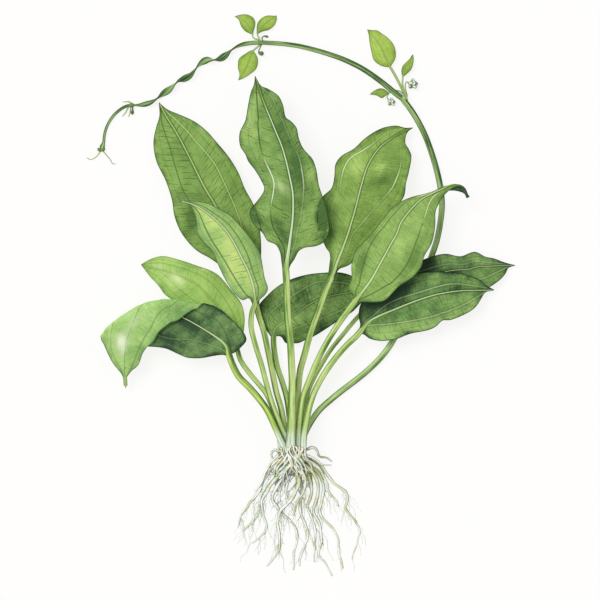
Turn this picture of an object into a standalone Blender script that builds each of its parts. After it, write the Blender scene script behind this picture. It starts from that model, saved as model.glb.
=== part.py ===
"""A broad-leaved rosette plant with its arching flower stalk and its roots, picked and laid down.

Metres, +Z up, the surface it lies on at z = 0. The crown's flat underside is at the origin, the
leaves point towards +Y and the roots towards -Y.
Outlines are read on a plan sheet in millimetres: x to the right and y down, seen from above.
"""
import math

import bmesh
import bpy
import numpy as np

MM = 0.001
CROWN_X = 292.0
CROWN_Y = 458.0

CROWN_FACE = (0.0, -1.0, 0.0)
RIB_HALF_THICKNESS = 1.0
WEB_HALF_THICKNESS = 0.62
TIP_HALF_THICKNESS = 0.35
WHORL_WEB_HALF_THICKNESS = 0.4
# Shares of a blade's length over which its rib and its web thin out from the petiole's depth.
RIB_FADE = 0.12
WEB_FADE = 0.05
FOOT_WEB_SHARE = 0.7
# Shares of a blade's length at its first and last sections.
BLADE_START = 0.035
BLADE_END = 0.988
# A blade's margins drop away from its rib by this power of the distance across.
DROP_POWER = 1.6
# The petiole has its top's size from this share of its length on.
PETIOLE_TAPER = 0.4
# How far a coarse path may stray from the smooth one.
PETIOLE_SAG = 0.35
WHORL_SAG = 0.15
STALK_SAG = 0.3
ROOT_SAG = 0.45
ROOT_CLEARANCE = 0.6

STALK_SIDES = 6
STALK_END_RINGS = 14
TWIST_RINGS = 32
ROOT_SIDES = 5
CROWN_SIDES = 16
FLAT_BLADE_SECTION = (-1.0, -0.5, 0.0, 0.5, 1.0)

# Crown: y on the sheet, half width and half height of each station; its underside is cut flat.
CROWN_STATIONS = (
    (445.3, 15.4, 13.2),
    (450.0, 16.0, 13.8),
    (457.0, 15.0, 13.0),
    (464.0, 12.5, 11.0),
    (469.0, 9.0, 8.4),
    (472.5, 4.6, 4.4),
)
CROWN_SINK = 0.93

# Each leaf: petiole (x, y, height), its half width and half depth at the foot and at the top,
# then the blade's left margin, rib and right margin, seen from its foot, and their heights.
LEAVES = {
    "leaf_centre": {
        "petiole": ((290.4, 445, 22.6), (291.2, 430, 23.4), (291.8, 405, 26), (292.3, 380, 28.8),
                    (291.5, 360, 30.8), (290.5, 342, 32.4), (288.6, 325, 34), (287.3, 305, 36),
                    (286.7, 283, 37.6), (286, 269, 38.3)),
        "foot": (5.2, 2.3),
        "top": (3.5, 2.4),
        "left": ((281.6, 262), (280.2, 252.5), (276, 245), (267.8, 241.2), (263, 233.5),
                 (256.5, 227.5), (251, 220), (250.3, 211), (258, 201), (264.6, 190), (261, 180.5),
                 (255, 170.5), (248.5, 162), (245.8, 155.5), (240.6, 147), (240, 134),
                 (245.5, 122), (247.9, 109), (251, 93.5), (254.2, 85.5)),
        "rib": ((290.2, 240), (292.7, 220), (293.3, 206), (292.7, 193), (290.1, 179), (286.3, 162.3),
                (281.8, 147), (276, 132.8), (270.3, 118.7), (264.5, 104.6), (260, 91.2)),
        "right": ((290.2, 266), (294.4, 259.5), (299, 251), (305, 247.7), (317, 246), (325.5, 240.8),
                  (329, 230), (326.8, 211), (322.3, 197), (318.7, 186), (316.4, 172),
                  (312.6, 160.6), (303, 149), (299, 140), (296.5, 129), (291, 122.3), (286, 118.5),
                  (283, 106), (278.5, 97), (268, 89.7), (261, 86.8)),
        "tip": (255.3, 76.8),
        "heights": (38.6, 43, 44, 40, 33, 24),
        "left_drop": (0, -3, -1.5, -4, -2, 0),
        "right_drop": (0, -4.5, -2.5, -3, -2, 0),
        "rings": 25,
        "colour": (0.16, 0.34, 0.09),
    },
    "leaf_upper_right": {
        "petiole": ((294.8, 445, 11.6), (295.8, 430, 12), (297, 405, 13.8), (298.1, 390, 15),
                    (300.3, 370, 16), (303, 360, 16.8), (305.8, 350, 17.5), (311.3, 330, 19),
                    (318.5, 310, 21), (325.6, 290, 22.8), (331, 278, 24)),
        "foot": (3.3, 2.2),
        "top": (3.2, 2.1),
        "left": ((328.6, 271.5), (329.3, 265), (330.2, 258.5), (329.3, 252.5), (326, 248),
                 (321.5, 238), (316.8, 226), (317, 210), (322, 197.8), (331.5, 188.5), (334.3, 177),
                 (335.3, 165), (341, 156.8), (353.8, 149.2), (365, 138.6), (381.3, 128.8),
                 (396.3, 126), (405, 128.2)),
        "rib": ((334.6, 270), (336.6, 264), (342.5, 248.8), (347.5, 235), (351.3, 222.5), (355, 210),
                (358.1, 197.5), (361.3, 185), (367.5, 166.3), (378.8, 148.8), (395, 136.3),
                (404, 131.3)),
        "right": ((337.8, 270.5), (340.2, 268.4), (345, 266.8), (350.6, 263.8), (357, 255),
                  (369, 243), (382, 229), (392, 216), (399, 204.5), (404.2, 195), (405.5, 184),
                  (408.5, 172.5), (411, 156), (408.3, 149.5), (405, 143.5), (407, 133)),
        "tip": (413, 127.8),
        "heights": (24, 28, 28, 25, 18, 8),
        "left_drop": (0, -3, -3.5, -2, -1, 0),
        "right_drop": (0, -3.5, -4, -3, -1.5, 0),
        "rings": 23,
        "colour": (0.22, 0.38, 0.08),
    },
    "leaf_right_mid": {
        "petiole": ((298.4, 445, 16.6), (299, 431, 17.2), (300.9, 411, 19), (303.7, 395, 20.8),
                    (309.2, 380, 23), (317.7, 360, 26), (328.1, 340, 29), (341, 320, 32),
                    (355.2, 300.8, 35)),
        "foot": (3.3, 2.2),
        "top": (3.0, 2.2),
        "left": ((353.3, 296.6), (347.2, 288.6), (351, 280), (351.4, 264), (355, 251), (367.5, 238.1),
                 (379.4, 223.8), (389, 211.3), (397.5, 203.8), (410, 198.1), (424, 194.6),
                 (432.5, 191.9), (440, 187.8), (446, 181.5), (454, 177.3), (462, 177.8), (467, 185)),
        "rib": ((363.6, 290), (370.8, 280), (377, 269), (390, 245), (396.3, 233.8), (400, 223.8),
                (405, 216.3), (412.5, 207.5), (420, 200.3), (430, 194.8), (441, 189.6),
                (452, 184.5), (461, 183.5), (466, 188.5)),
        "right": ((363, 302), (373.8, 302.3), (384, 300.6), (392.5, 292.5), (398, 286.8), (412.5, 276.9),
                  (420.5, 267), (423.5, 256.5), (431, 243), (434.4, 226), (434.8, 212), (438.8, 202.5),
                  (442, 197.5), (446.5, 192.5), (453, 188), (460, 187), (465.3, 190)),
        "tip": (469, 196),
        "heights": (35, 39, 40, 38, 33, 26),
        "left_drop": (0, -3, -2.5, -2, -1, 0),
        "right_drop": (0, -3, -3.5, -2, -1, 0),
        "rings": 30,
        "crease": {
            "start": (436, 191),
            "end": (468, 196),
            "bulge": ((-6, 4), (0, 2.4), (3.6, 3.6), (10.6, 6.6), (16.7, 8.7), (21.6, 9.1), (25.5, 8.1),
                      (28.5, 5.6), (31.1, 1.4), (34, -2)),
            "radius": ((0, 1.7), (34, 1.7)),
            "sense": -1.0,
            "turn": 2.9,
            "points": 6,
            "share": 0.6,
        },
        "colour": (0.29, 0.48, 0.14),
    },
    "leaf_mid_left": {
        "petiole": ((288.6, 445, 14.6), (286, 437, 15), (281.3, 427, 16), (277, 416, 17),
                    (271.6, 401, 18.6), (266.8, 384, 20), (261.6, 364, 22), (255.7, 345, 23.5),
                    (251.4, 326, 25), (252.4, 312, 26), (255.4, 304, 26.6)),
        "foot": (3.3, 2.2),
        "top": (2.6, 2.0),
        "left": ((251, 299.6), (247.5, 298), (243.2, 300.2), (236, 294.5), (227, 282), (218.4, 264.6),
                 (213, 252), (204, 242.4), (197.5, 233), (197, 222), (193.5, 210.7), (188, 203.8)),
        "rib": ((254.7, 294.2), (252.7, 283.4), (248.6, 271.3), (243.2, 260.5), (237.9, 249.8),
                (228.4, 233.6), (217, 221), (203, 210), (190.8, 204)),
        "right": ((259, 300.8), (265.5, 294.5), (268, 288.5), (264.8, 278), (262.5, 265), (260, 253),
                  (252.7, 241), (242, 227.6), (230, 215), (219, 209), (207, 203.3), (194, 201.3)),
        "tip": (180.6, 201.2),
        "heights": (26.6, 30, 31, 30, 27, 24),
        "left_drop": (0, -2, -3.5, -2.5, -1, 0),
        "right_drop": (0, -2, -3, -2, -1, 0),
        "rings": 18,
        "colour": (0.28, 0.47, 0.17),
    },
    "leaf_upper_left": {
        "petiole": ((285.8, 445, 9.6), (284.8, 432, 9.6), (283.2, 419, 10), (280.8, 407, 10.4),
                    (276.2, 391, 11.5), (272.3, 371, 12.5), (268.1, 350.5, 13), (263.6, 330, 13.4),
                    (258.5, 314, 13.6), (256.7, 306, 13.8)),
        "foot": (3.2, 2.2),
        "top": (2.9, 2.1),
        "left": ((246, 292), (228, 272), (212, 259.5), (196, 249.8), (182, 233.5), (175, 217),
                 (172.2, 200), (166, 181), (156.5, 161), (153.7, 142), (156.5, 127), (159.6, 116)),
        "rib": ((254, 290), (248, 272), (238, 248), (226, 225), (215, 204.7), (204.2, 186.5),
                (192.1, 162.3), (177.3, 134), (167, 117.5)),
        "right": ((259.5, 292), (260.3, 270), (261.2, 246), (259.5, 228), (253.7, 205.4), (245, 189),
                  (238, 172), (228, 156), (216.3, 142), (207, 131.5), (195, 122), (180, 114.9),
                  (167, 109.3)),
        "tip": (158.9, 102.4),
        "heights": (13.8, 15.5, 16, 14.5, 9.5, 1.4),
        "left_drop": (0, -3, -3.5, -3, -1.5, 0),
        "right_drop": (0, -2.5, -3.5, -3, -1.5, 0),
        "rings": 19,
        "colour": (0.24, 0.40, 0.10),
    },
    "leaf_right_low": {
        "petiole": ((303.6, 445, 19.8), (304, 437, 20), (306.4, 421.5, 20.4), (309.9, 405, 20.6),
                    (315.2, 390, 20.4), (323.4, 375, 20), (333.7, 360, 19.4), (346.8, 345, 19),
                    (355.8, 336.5, 19), (361.4, 330, 19)),
        "foot": (3.2, 2.2),
        "top": (3.0, 2.0),
        "left": ((360, 325), (358.4, 314), (361.5, 302), (377, 286.5), (398, 277.3), (420, 272.8),
                 (445.4, 272), (463.3, 274.2), (479, 279.8), (487, 286)),
        "rib": ((370.2, 320.6), (380.3, 315.2), (392.6, 310.1), (406.1, 304.5), (419.6, 299.5),
                (434.1, 295), (448.7, 292.2), (462.2, 290.7), (478, 290.4)),
        "right": ((357.5, 333.4), (363, 334), (369.1, 338.2), (379.2, 340.6), (394.9, 339.1),
                  (409.5, 333.7), (428.5, 329.7), (435.6, 326.2), (442, 320.4), (449.8, 319.9),
                  (467.8, 312.4), (475, 307), (480.5, 299), (485, 292.2)),
        "tip": (494.2, 290),
        "heights": (19, 21.5, 23, 22, 17, 8),
        "left_drop": (0, -1, -1.5, -1.5, -1, 0),
        "right_drop": (0, -4, -5, -4, -2, 0),
        "rings": 20,
        "colour": (0.13, 0.29, 0.10),
    },
    "leaf_right_back": {
        "petiole": ((301.8, 445, 12.6), (302.6, 430, 12.6), (304.6, 407, 12.6), (309.6, 388, 12.6),
                    (315.6, 375, 12.3), (321.3, 365, 12), (330.6, 350, 11.8), (342.6, 335, 11.8),
                    (356.8, 318, 12), (366, 309, 12.2), (373, 303, 12.4)),
        "foot": (3.2, 2.1),
        "top": (2.2, 1.9),
        "left": ((373.5, 294), (382, 281), (395, 270), (408, 263.5), (421.8, 260.2), (431, 256.8),
                 (445.4, 254), (459.9, 256.5), (474.5, 252), (485, 256.8), (493.6, 258.5),
                 (503, 262)),
        "rib": ((395, 288), (420, 279), (438, 273.5), (454.3, 270.3), (467.8, 269.4), (476.8, 267),
                (491.4, 266.2), (503, 265.5)),
        "right": ((380, 307), (396, 309), (420, 306), (445, 301), (466, 296), (481, 291), (490.2, 286.6),
                  (500.3, 279.3), (506, 273.5), (509, 268)),
        "tip": (516.8, 265.5),
        "heights": (12.4, 14.2, 14.5, 13.5, 9.5, 2.4),
        "left_drop": (0, -2.5, -3, -2.5, -1.5, 0),
        "right_drop": (0, -2.5, -3, -2.5, -1.5, 0),
        "rings": 18,
        "colour": (0.10, 0.24, 0.08),
    },
    "leaf_low_centre": {
        "petiole": ((292.1, 445, 7), (290.4, 425, 7), (286.6, 397, 7.2), (282, 381, 7.6),
                    (277.2, 366.5, 7.8), (274.6, 352, 8), (273.7, 343, 8), (273.6, 336.5, 8)),
        "foot": (3.1, 2.1),
        "top": (2.8, 1.9),
        "left": ((266, 329.5), (260.5, 320), (257.6, 312), (259.5, 304.5), (267, 296), (277, 287),
                 (288, 280.6), (304.2, 275.3), (323.3, 272.8), (342, 272.8), (355, 277.5),
                 (364, 285)),
        "rib": ((274.6, 330), (279.2, 325), (291.7, 317.1), (308.3, 305), (322, 298.5), (340, 294),
                (356, 292.3)),
        "right": ((279.5, 336), (282.8, 338), (285.8, 343), (291, 343), (298.3, 343), (306, 339.6),
                  (315, 335.6), (329.2, 326.7), (341.7, 318.3), (352, 312), (361.5, 302.5)),
        "tip": (370, 293),
        "heights": (8, 8.4, 8.6, 8.2, 6.6, 4),
        "left_drop": (0, -1.8, -2.2, -2, -1, 0),
        "right_drop": (0, -1.8, -2.2, -2, -1, 0),
        "rings": 18,
        "colour": (0.09, 0.22, 0.06),
    },
    "leaf_left_up": {
        "petiole": ((280.8, 445, 13), (279.6, 434, 12), (276.8, 422, 11.2), (272.6, 408, 11.2),
                    (266.5, 394, 11.4), (258, 383, 11.6), (249.3, 372.5, 11.8), (240.8, 360, 12),
                    (237.4, 349, 12.2)),
        "foot": (3.1, 2.1),
        "top": (2.5, 1.9),
        "left": ((232, 344), (221, 336), (207, 326), (192, 314), (179, 304), (170.2, 298.3),
                 (164.7, 294), (160.4, 288), (156, 282.6), (150.6, 277.1), (146.8, 272.2)),
        "rib": ((230, 325), (216, 304), (209.4, 297.3), (200.7, 287.5), (185.5, 278.5), (171.3, 273),
                (156, 268.5)),
        "right": ((242, 340), (244.2, 328), (244.5, 316), (241, 302.8), (230.1, 288.6), (218.1, 275),
                  (209.4, 270.1), (197.4, 265.9), (180, 260.1), (162.6, 256.2), (150.6, 259.2)),
        "tip": (141, 264.6),
        "heights": (12.2, 13.6, 14, 12.5, 8.5, 2),
        "left_drop": (0, -2, -2.5, -2.5, -1.5, 0),
        "right_drop": (0, -2.5, -3, -2.5, -1.5, 0),
        "rings": 17,
        "colour": (0.36, 0.52, 0.12),
    },
    "leaf_left_fold": {
        "petiole": ((283.8, 445, 19), (281.4, 440, 19.2), (275.6, 427, 19.8), (267, 409, 20.4),
                    (260.2, 399.5, 20.8), (249.5, 387, 21.4), (239, 376, 22), (232.8, 364, 22.6),
                    (229.4, 354.5, 23)),
        "foot": (3.3, 2.2),
        "top": (3.3, 2.1),
        "left": ((224, 354.8), (214, 355.6), (201.8, 357.8), (188, 357.4), (177.8, 353.4), (166, 348.3),
                 (149.5, 346.4), (139, 346.6), (125, 344.5), (110, 340.5), (100.6, 333.5), (99, 323),
                 (97.2, 310), (95.6, 293.6), (95.7, 280.8), (95.7, 271.8), (94.7, 266)),
        "rib": ((226.9, 346.3), (220.3, 339.8), (204, 328.9), (188.7, 320.2), (169, 310.5), (150, 301),
                (134, 294.5), (120, 290), (112, 285.5), (104.5, 278.5), (98, 268.5)),
        "right": ((235.5, 352), (241.5, 346.8), (246.6, 339.8), (244, 332.5), (232.5, 320),
                  (222.5, 310.6), (213.5, 305.6), (205, 303), (194.5, 297.5), (182.8, 287.1),
                  (171.7, 276.5), (162.1, 270.2), (143.4, 263.4), (131.6, 258), (119.3, 258.7),
                  (110.5, 255.6), (101.6, 261.2), (97, 262.6)),
        "tip": (92.2, 256.8),
        "heights": (23, 24.5, 24, 22.5, 20, 15),
        "left_drop": (0, -2.5, -2.5, -2, -1, 0),
        "right_drop": (0, -2, -1.5, -1, -1, 0),
        "rings": 27,
        "crease": {
            "start": (101, 336),
            "end": (217, 306),
            "bulge": ((-15, -13), (0, -0.4), (5.7, 5), (12, 8.8), (23.6, 13.8), (42.8, 20),
                      (56.4, 21.2), (71.5, 20), (85.6, 15), (94.7, 10), (100.5, 6.8),
                      (108.8, 5.6), (116.2, 2.5)),
            "radius": ((0, 1.8), (10, 3.2), (30, 5.2), (60, 6.6), (80, 5.4), (94, 3.2), (101, 1.4),
                       (122, 1.2)),
            "sense": 1.0,
            "turn": math.pi + 0.2,
            "points": 9,
            "share": 1.3,
        },
        "colour": (0.33, 0.53, 0.20),
    },
    "whorl1_leaf_big": {
        "petiole": ((404.9, 95.4, 4.2), (401.7, 88.5, 3.8), (398.1, 81.2, 3.5), (393.3, 72.5, 4),
                    (389.9, 66.8, 4.6)),
        "foot": (1.3, 1.1),
        "top": (1.3, 1.0),
        "left": ((386.3, 67.2), (381.7, 66.2), (376.9, 63.4), (373.6, 60), (371.2, 51.3), (369.4, 41.7),
                 (368.7, 35)),
        "rib": ((386.5, 60), (382, 50), (376, 40), (370.5, 33)),
        "right": ((391.5, 65.2), (395, 59.5), (395.7, 53), (393.8, 45.6), (388.5, 38.8), (381.7, 33.6),
                  (376.9, 30.5), (371.5, 30.3)),
        "tip": (367.2, 29.5),
        "heights": (4.6, 6.4, 7, 6, 4, 1.2),
        "left_drop": (0, -1.5, -2, -1.5, -0.5, 0),
        "right_drop": (0, -1.5, -2, -1.5, -0.5, 0),
        "rings": 8,
        "colour": (0.42, 0.58, 0.14),
    },
    "whorl1_leaf_right": {
        "petiole": ((406.1, 96.9, 6.6), (404.2, 91, 7.2), (402.4, 84, 6.4), (402.8, 76.6, 5)),
        "foot": (0.9, 0.9),
        "top": (0.9, 0.8),
        "left": ((401.4, 70.6), (402.9, 65.8), (406.7, 61.9), (409.6, 59), (411.3, 56)),
        "rib": ((404.5, 69), (409, 63), (412, 58.5)),
        "right": ((406.7, 74.2), (411.1, 69.6), (412.9, 64.8), (413.6, 59)),
        "tip": (413, 54.4),
        "heights": (5, 5.4, 5.2, 4.6, 3.4, 1.6),
        "left_drop": (0, -0.6, -0.8, -0.6, -0.3, 0),
        "right_drop": (0, -0.6, -0.8, -0.6, -0.3, 0),
        "rings": 7,
        "colour": (0.40, 0.57, 0.13),
    },
    "whorl1_leaf_left": {
        "petiole": ((402.4, 93.4, 1.5), (399.6, 91.2, 1.0), (396, 90.6, 0.9), (392, 91.4, 0.9),
                    (388.3, 92.8, 1.2)),
        "foot": (0.55, 0.5),
        "top": (0.7, 0.6),
        "left": ((385.6, 96), (381.7, 98.2), (376.9, 95.7)),
        "rib": ((384, 93), (378, 93.4)),
        "right": ((384.6, 89.4), (379.8, 88.5), (374, 90.9)),
        "tip": (369.6, 94.4),
        "heights": (1.2, 2.2, 2.6, 2.4, 1.8, 1.0),
        "left_drop": (0, -0.5, -0.7, -0.5, -0.2, 0),
        "right_drop": (0, -0.5, -0.7, -0.5, -0.2, 0),
        "rings": 6,
        "colour": (0.40, 0.57, 0.13),
    },
    "whorl2_leaf_left": {
        "petiole": ((257.0, 39.4, 5), (254.8, 38.9, 4.6), (252.9, 36.8, 4), (252.6, 34.4, 3.6)),
        "foot": (0.7, 0.7),
        "top": (0.8, 0.7),
        "left": ((249.5, 33.5), (245.7, 31.7), (243, 29), (240.8, 25.7), (239.4, 21.3), (237.6, 18.4)),
        "rib": ((250.5, 29.5), (246.5, 23.5), (241, 18.5)),
        "right": ((253.4, 32), (254.9, 27), (255.3, 22.5), (253.9, 18.6), (251.1, 16.2), (247, 14.5),
                  (242, 14.5), (238, 15.3)),
        "tip": (234.6, 16.5),
        "heights": (3.6, 4.6, 4.8, 4.2, 3, 1.2),
        "left_drop": (0, -1, -1.3, -1, -0.4, 0),
        "right_drop": (0, -1, -1.3, -1, -0.4, 0),
        "rings": 7,
        "colour": (0.45, 0.60, 0.12),
    },
    "whorl2_leaf_right": {
        "petiole": ((259.7, 39.5, 5), (258.9, 37.8, 4.6), (257.8, 35.8, 4), (257.5, 34.2, 3.8)),
        "foot": (0.8, 0.7),
        "top": (0.8, 0.7),
        "left": ((256.8, 31), (257.2, 25), (258.8, 21.3), (262, 18.1), (266.4, 15.9), (270.8, 15.7),
                 (274, 16)),
        "rib": ((260.5, 28.5), (265.5, 23.5), (271.5, 19)),
        "right": ((260.4, 32.5), (264.2, 31.1), (268, 30.3), (271.3, 28.5), (274.3, 25.7), (276.2, 21.9),
                  (276.9, 18.5)),
        "tip": (276.6, 15.6),
        "heights": (3.8, 4.6, 4.8, 4.2, 3, 1.4),
        "left_drop": (0, -1, -1.3, -1, -0.4, 0),
        "right_drop": (0, -1, -1.3, -1, -0.4, 0),
        "rings": 7,
        "colour": (0.43, 0.58, 0.15),
    },
    "whorl2_leaf_low": {
        "petiole": ((258.9, 45.9, 3.4), (257.2, 47.4, 3.1), (255, 49.1, 2.8), (253.1, 50.8, 2.8)),
        "foot": (0.9, 0.8),
        "top": (0.9, 0.7),
        "left": ((256, 54.6), (257.8, 58.6), (258, 62), (257.4, 66), (255.5, 69.8), (252.2, 72.8),
                 (247.9, 75.8), (243, 78.6)),
        "rib": ((250.5, 57), (247.5, 65), (243, 74)),
        "right": ((248.8, 51.7), (245.2, 54), (240.8, 57), (238.6, 60), (238, 64), (238.1, 68.7),
                  (239.3, 72.5), (239.5, 76.5)),
        "tip": (238.1, 80.4),
        "heights": (2.8, 4, 4.4, 3.8, 2.6, 1.0),
        "left_drop": (0, -1, -1.4, -1, -0.4, 0),
        "right_drop": (0, -1, -1.4, -1, -0.4, 0),
        "rings": 8,
        "colour": (0.42, 0.58, 0.14),
    },
}

# Round and flattened lengths of the stalk: (x, y, height) and the half width at each end.
STALK_LOWER = ((301.2, 445, 6.6), (303.4, 437, 6.5), (306.6, 429.5, 6.2), (312, 420, 5.6),
               (319.3, 410, 4.7),
               (330.3, 400, 3.6), (342.6, 390, 2.8), (355.9, 380, 2.6), (368, 370, 2.6),
               (378.4, 360, 2.6), (386.7, 350, 2.7), (393.2, 340, 2.8), (404.4, 321, 2.9),
               (416, 297, 2.9), (425.2, 273, 2.8), (431.9, 255, 2.7), (436.9, 240, 2.6),
               (440.2, 223, 2.6), (441.9, 205, 2.6), (440.4, 188, 2.6), (436.6, 170, 2.6),
               (430.5, 150, 2.7), (424.8, 135, 2.8), (417.2, 120, 3.2), (410.9, 110, 4),
               (406.9, 104.6, 4.6), (404.2, 101.2, 5))
STALK_LOWER_HALF = (3.0, 2.8)
STALK_ARCH = ((401.9, 98.3, 5), (398.6, 95.8, 4.8), (393.5, 91.9, 4.6), (387, 86.5, 4),
              (380, 80.9, 3.2), (370, 73.7, 2.6), (360, 67.4, 2.4), (350, 62.4, 2.4),
              (340, 58.1, 2.4), (320, 51.5, 2.4), (300, 46.4, 2.4), (290, 44.8, 2.4), (280, 43.7, 2.6),
              (268, 43, 3.4), (261.2, 42.7, 4))
STALK_ARCH_HALF = (2.8, 2.1)
STALK_TWIST = ((258.0, 42.8, 4), (250, 43.3, 3.9), (240, 45.5, 3.8), (232, 49.8, 3.7), (225, 55.8, 3.6),
               (220, 59, 3.6), (214, 60.1, 3.5), (207, 60.1, 3.5), (200, 64.2, 3.5), (195, 70, 3.4),
               (190, 75.8, 3.4), (184, 79, 3.4), (179, 80.8, 3.4), (175.6, 83.6, 3.4), (169.5, 89.5, 3.4),
               (163, 94, 3.4), (157.5, 98.4, 3.3), (150, 102.8, 3), (141, 105, 2.5),
               (133.4, 105.3, 2.3))
TWIST_EDGE_X = (133.0, 157.5, 176.5, 196.5, 214.5, 232.0, 256.0)
TWIST_WIDE = 3.3
TWIST_NARROW = 0.85
# The stalk is round to the right of the first x and fully flattened to the left of the second.
TWIST_ROUND_X = (251.0, 237.0)
TWIST_ROUND_HALF = 2.1
# It narrows to its end between these.
TWIST_TAPER_X = (155.0, 133.0)
TWIST_END_HALF = 1.5
STALK_END = ((130.4, 105.2, 2.2), (125, 106.8, 1.8), (119.5, 110.2, 1.5), (113.4, 116, 1.4),
             (107.4, 125.5, 1.4), (104.5, 135, 1.4), (103.7, 142.5, 1.5), (102.4, 146.5, 2.3),
             (101.6, 149.3, 2.4))
STALK_GREEN = (0.20, 0.38, 0.14)
STALK_END_HALF = (1.5, 1.5, 1.5, 1.5, 1.4, 1.4, 1.4, 2.5, 1.4)

# Buds, bracts and tendrils: path, half widths along it, colour.
BUD_GREEN = (0.55, 0.64, 0.38)
BRACT_GREEN = (0.36, 0.47, 0.22)
SMALL_PIECES = {
    "whorl1_buds_right": (
        ((407.0, 95.2, 3.0), (405.7, 90, 2.2), (405.2, 85.5, 1.8), (406.4, 82.2, 2.2), (408.3, 82.4, 3.4),
         (409.4, 82.9, 4.2), (412.5, 84, 4.5), (415.4, 84.8, 4.5), (416.5, 85.1, 4.5)),
        (0.5, 0.5, 0.5, 0.5, 0.8, 3.2, 4.4, 3.2, 0.8), BUD_GREEN),
    "whorl1_buds_left": (
        ((388.2, 94.6, 1.0), (387, 96.3, 1.0), (387.6, 98.6, 2.2), (388.7, 99.8, 3.6), (391.3, 102.3, 4.1),
         (393.3, 104.3, 4.1), (394.3, 105.3, 4.1)),
        (0.5, 0.5, 0.8, 3.0, 4.0, 2.9, 0.8), BUD_GREEN),
    "whorl2_bud_upper": (
        ((262.4, 39.6, 4.0), (262, 37.9, 3.4), (263.4, 36.6, 2.2), (265.2, 36.3, 1.8), (266.8, 36.6, 1.6),
         (268.2, 37.4, 1.5)),
        (0.6, 0.6, 0.6, 0.9, 1.3, 0.7), BRACT_GREEN),
    "whorl2_bud_low": (
        ((261.0, 45.9, 3.4), (259.6, 49, 2.8), (258.7, 51.4, 2.6), (259.7, 53, 2.7), (261.9, 53.7, 2.8),
         (263.6, 54.2, 2.8)),
        (0.6, 0.6, 0.6, 1.7, 2.5, 1.2), BRACT_GREEN),
    "whorl3_bract_upper": (
        ((130.8, 102.9, 2.6), (128.5, 101.7, 2), (125.5, 101.9, 1.2), (122.6, 102, 0.8)),
        (0.8, 0.7, 0.5, 0.35), BRACT_GREEN),
    "whorl3_bract_left": (
        ((127.8, 108.5, 1.6), (125.3, 113, 1.1), (122.4, 116.4, 0.7)),
        (0.6, 0.6, 0.35), BUD_GREEN),
    "whorl3_bract_mid": (
        ((130.4, 107.5, 2.0), (130.2, 112, 1.1), (128.6, 117, 0.7)),
        (0.6, 0.6, 0.35), BUD_GREEN),
    "whorl3_bud": (
        ((132.6, 107.4, 2.4), (132.6, 110.2, 2.1), (132.4, 112.6, 2), (132.2, 114.6, 2)),
        (0.8, 1.0, 1.9, 0.8), BRACT_GREEN),
    "tip_tendril_left": (
        ((100.7, 151.0, 2.2), (97.6, 155.4, 1.2), (93.4, 158.7, 0.7), (89.9, 159.5, 0.6),
         (86.7, 157.6, 0.6)),
        (0.6, 0.5, 0.45, 0.4, 0.3), BRACT_GREEN),
    "tip_tendril_right": (
        ((103.0, 151.0, 2.2), (107.3, 156.1, 1.2), (110.3, 159.6, 0.7), (112.6, 163.6, 0.6),
         (115.5, 163.9, 0.6)),
        (0.6, 0.5, 0.45, 0.4, 0.3), BRACT_GREEN),
}

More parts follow.
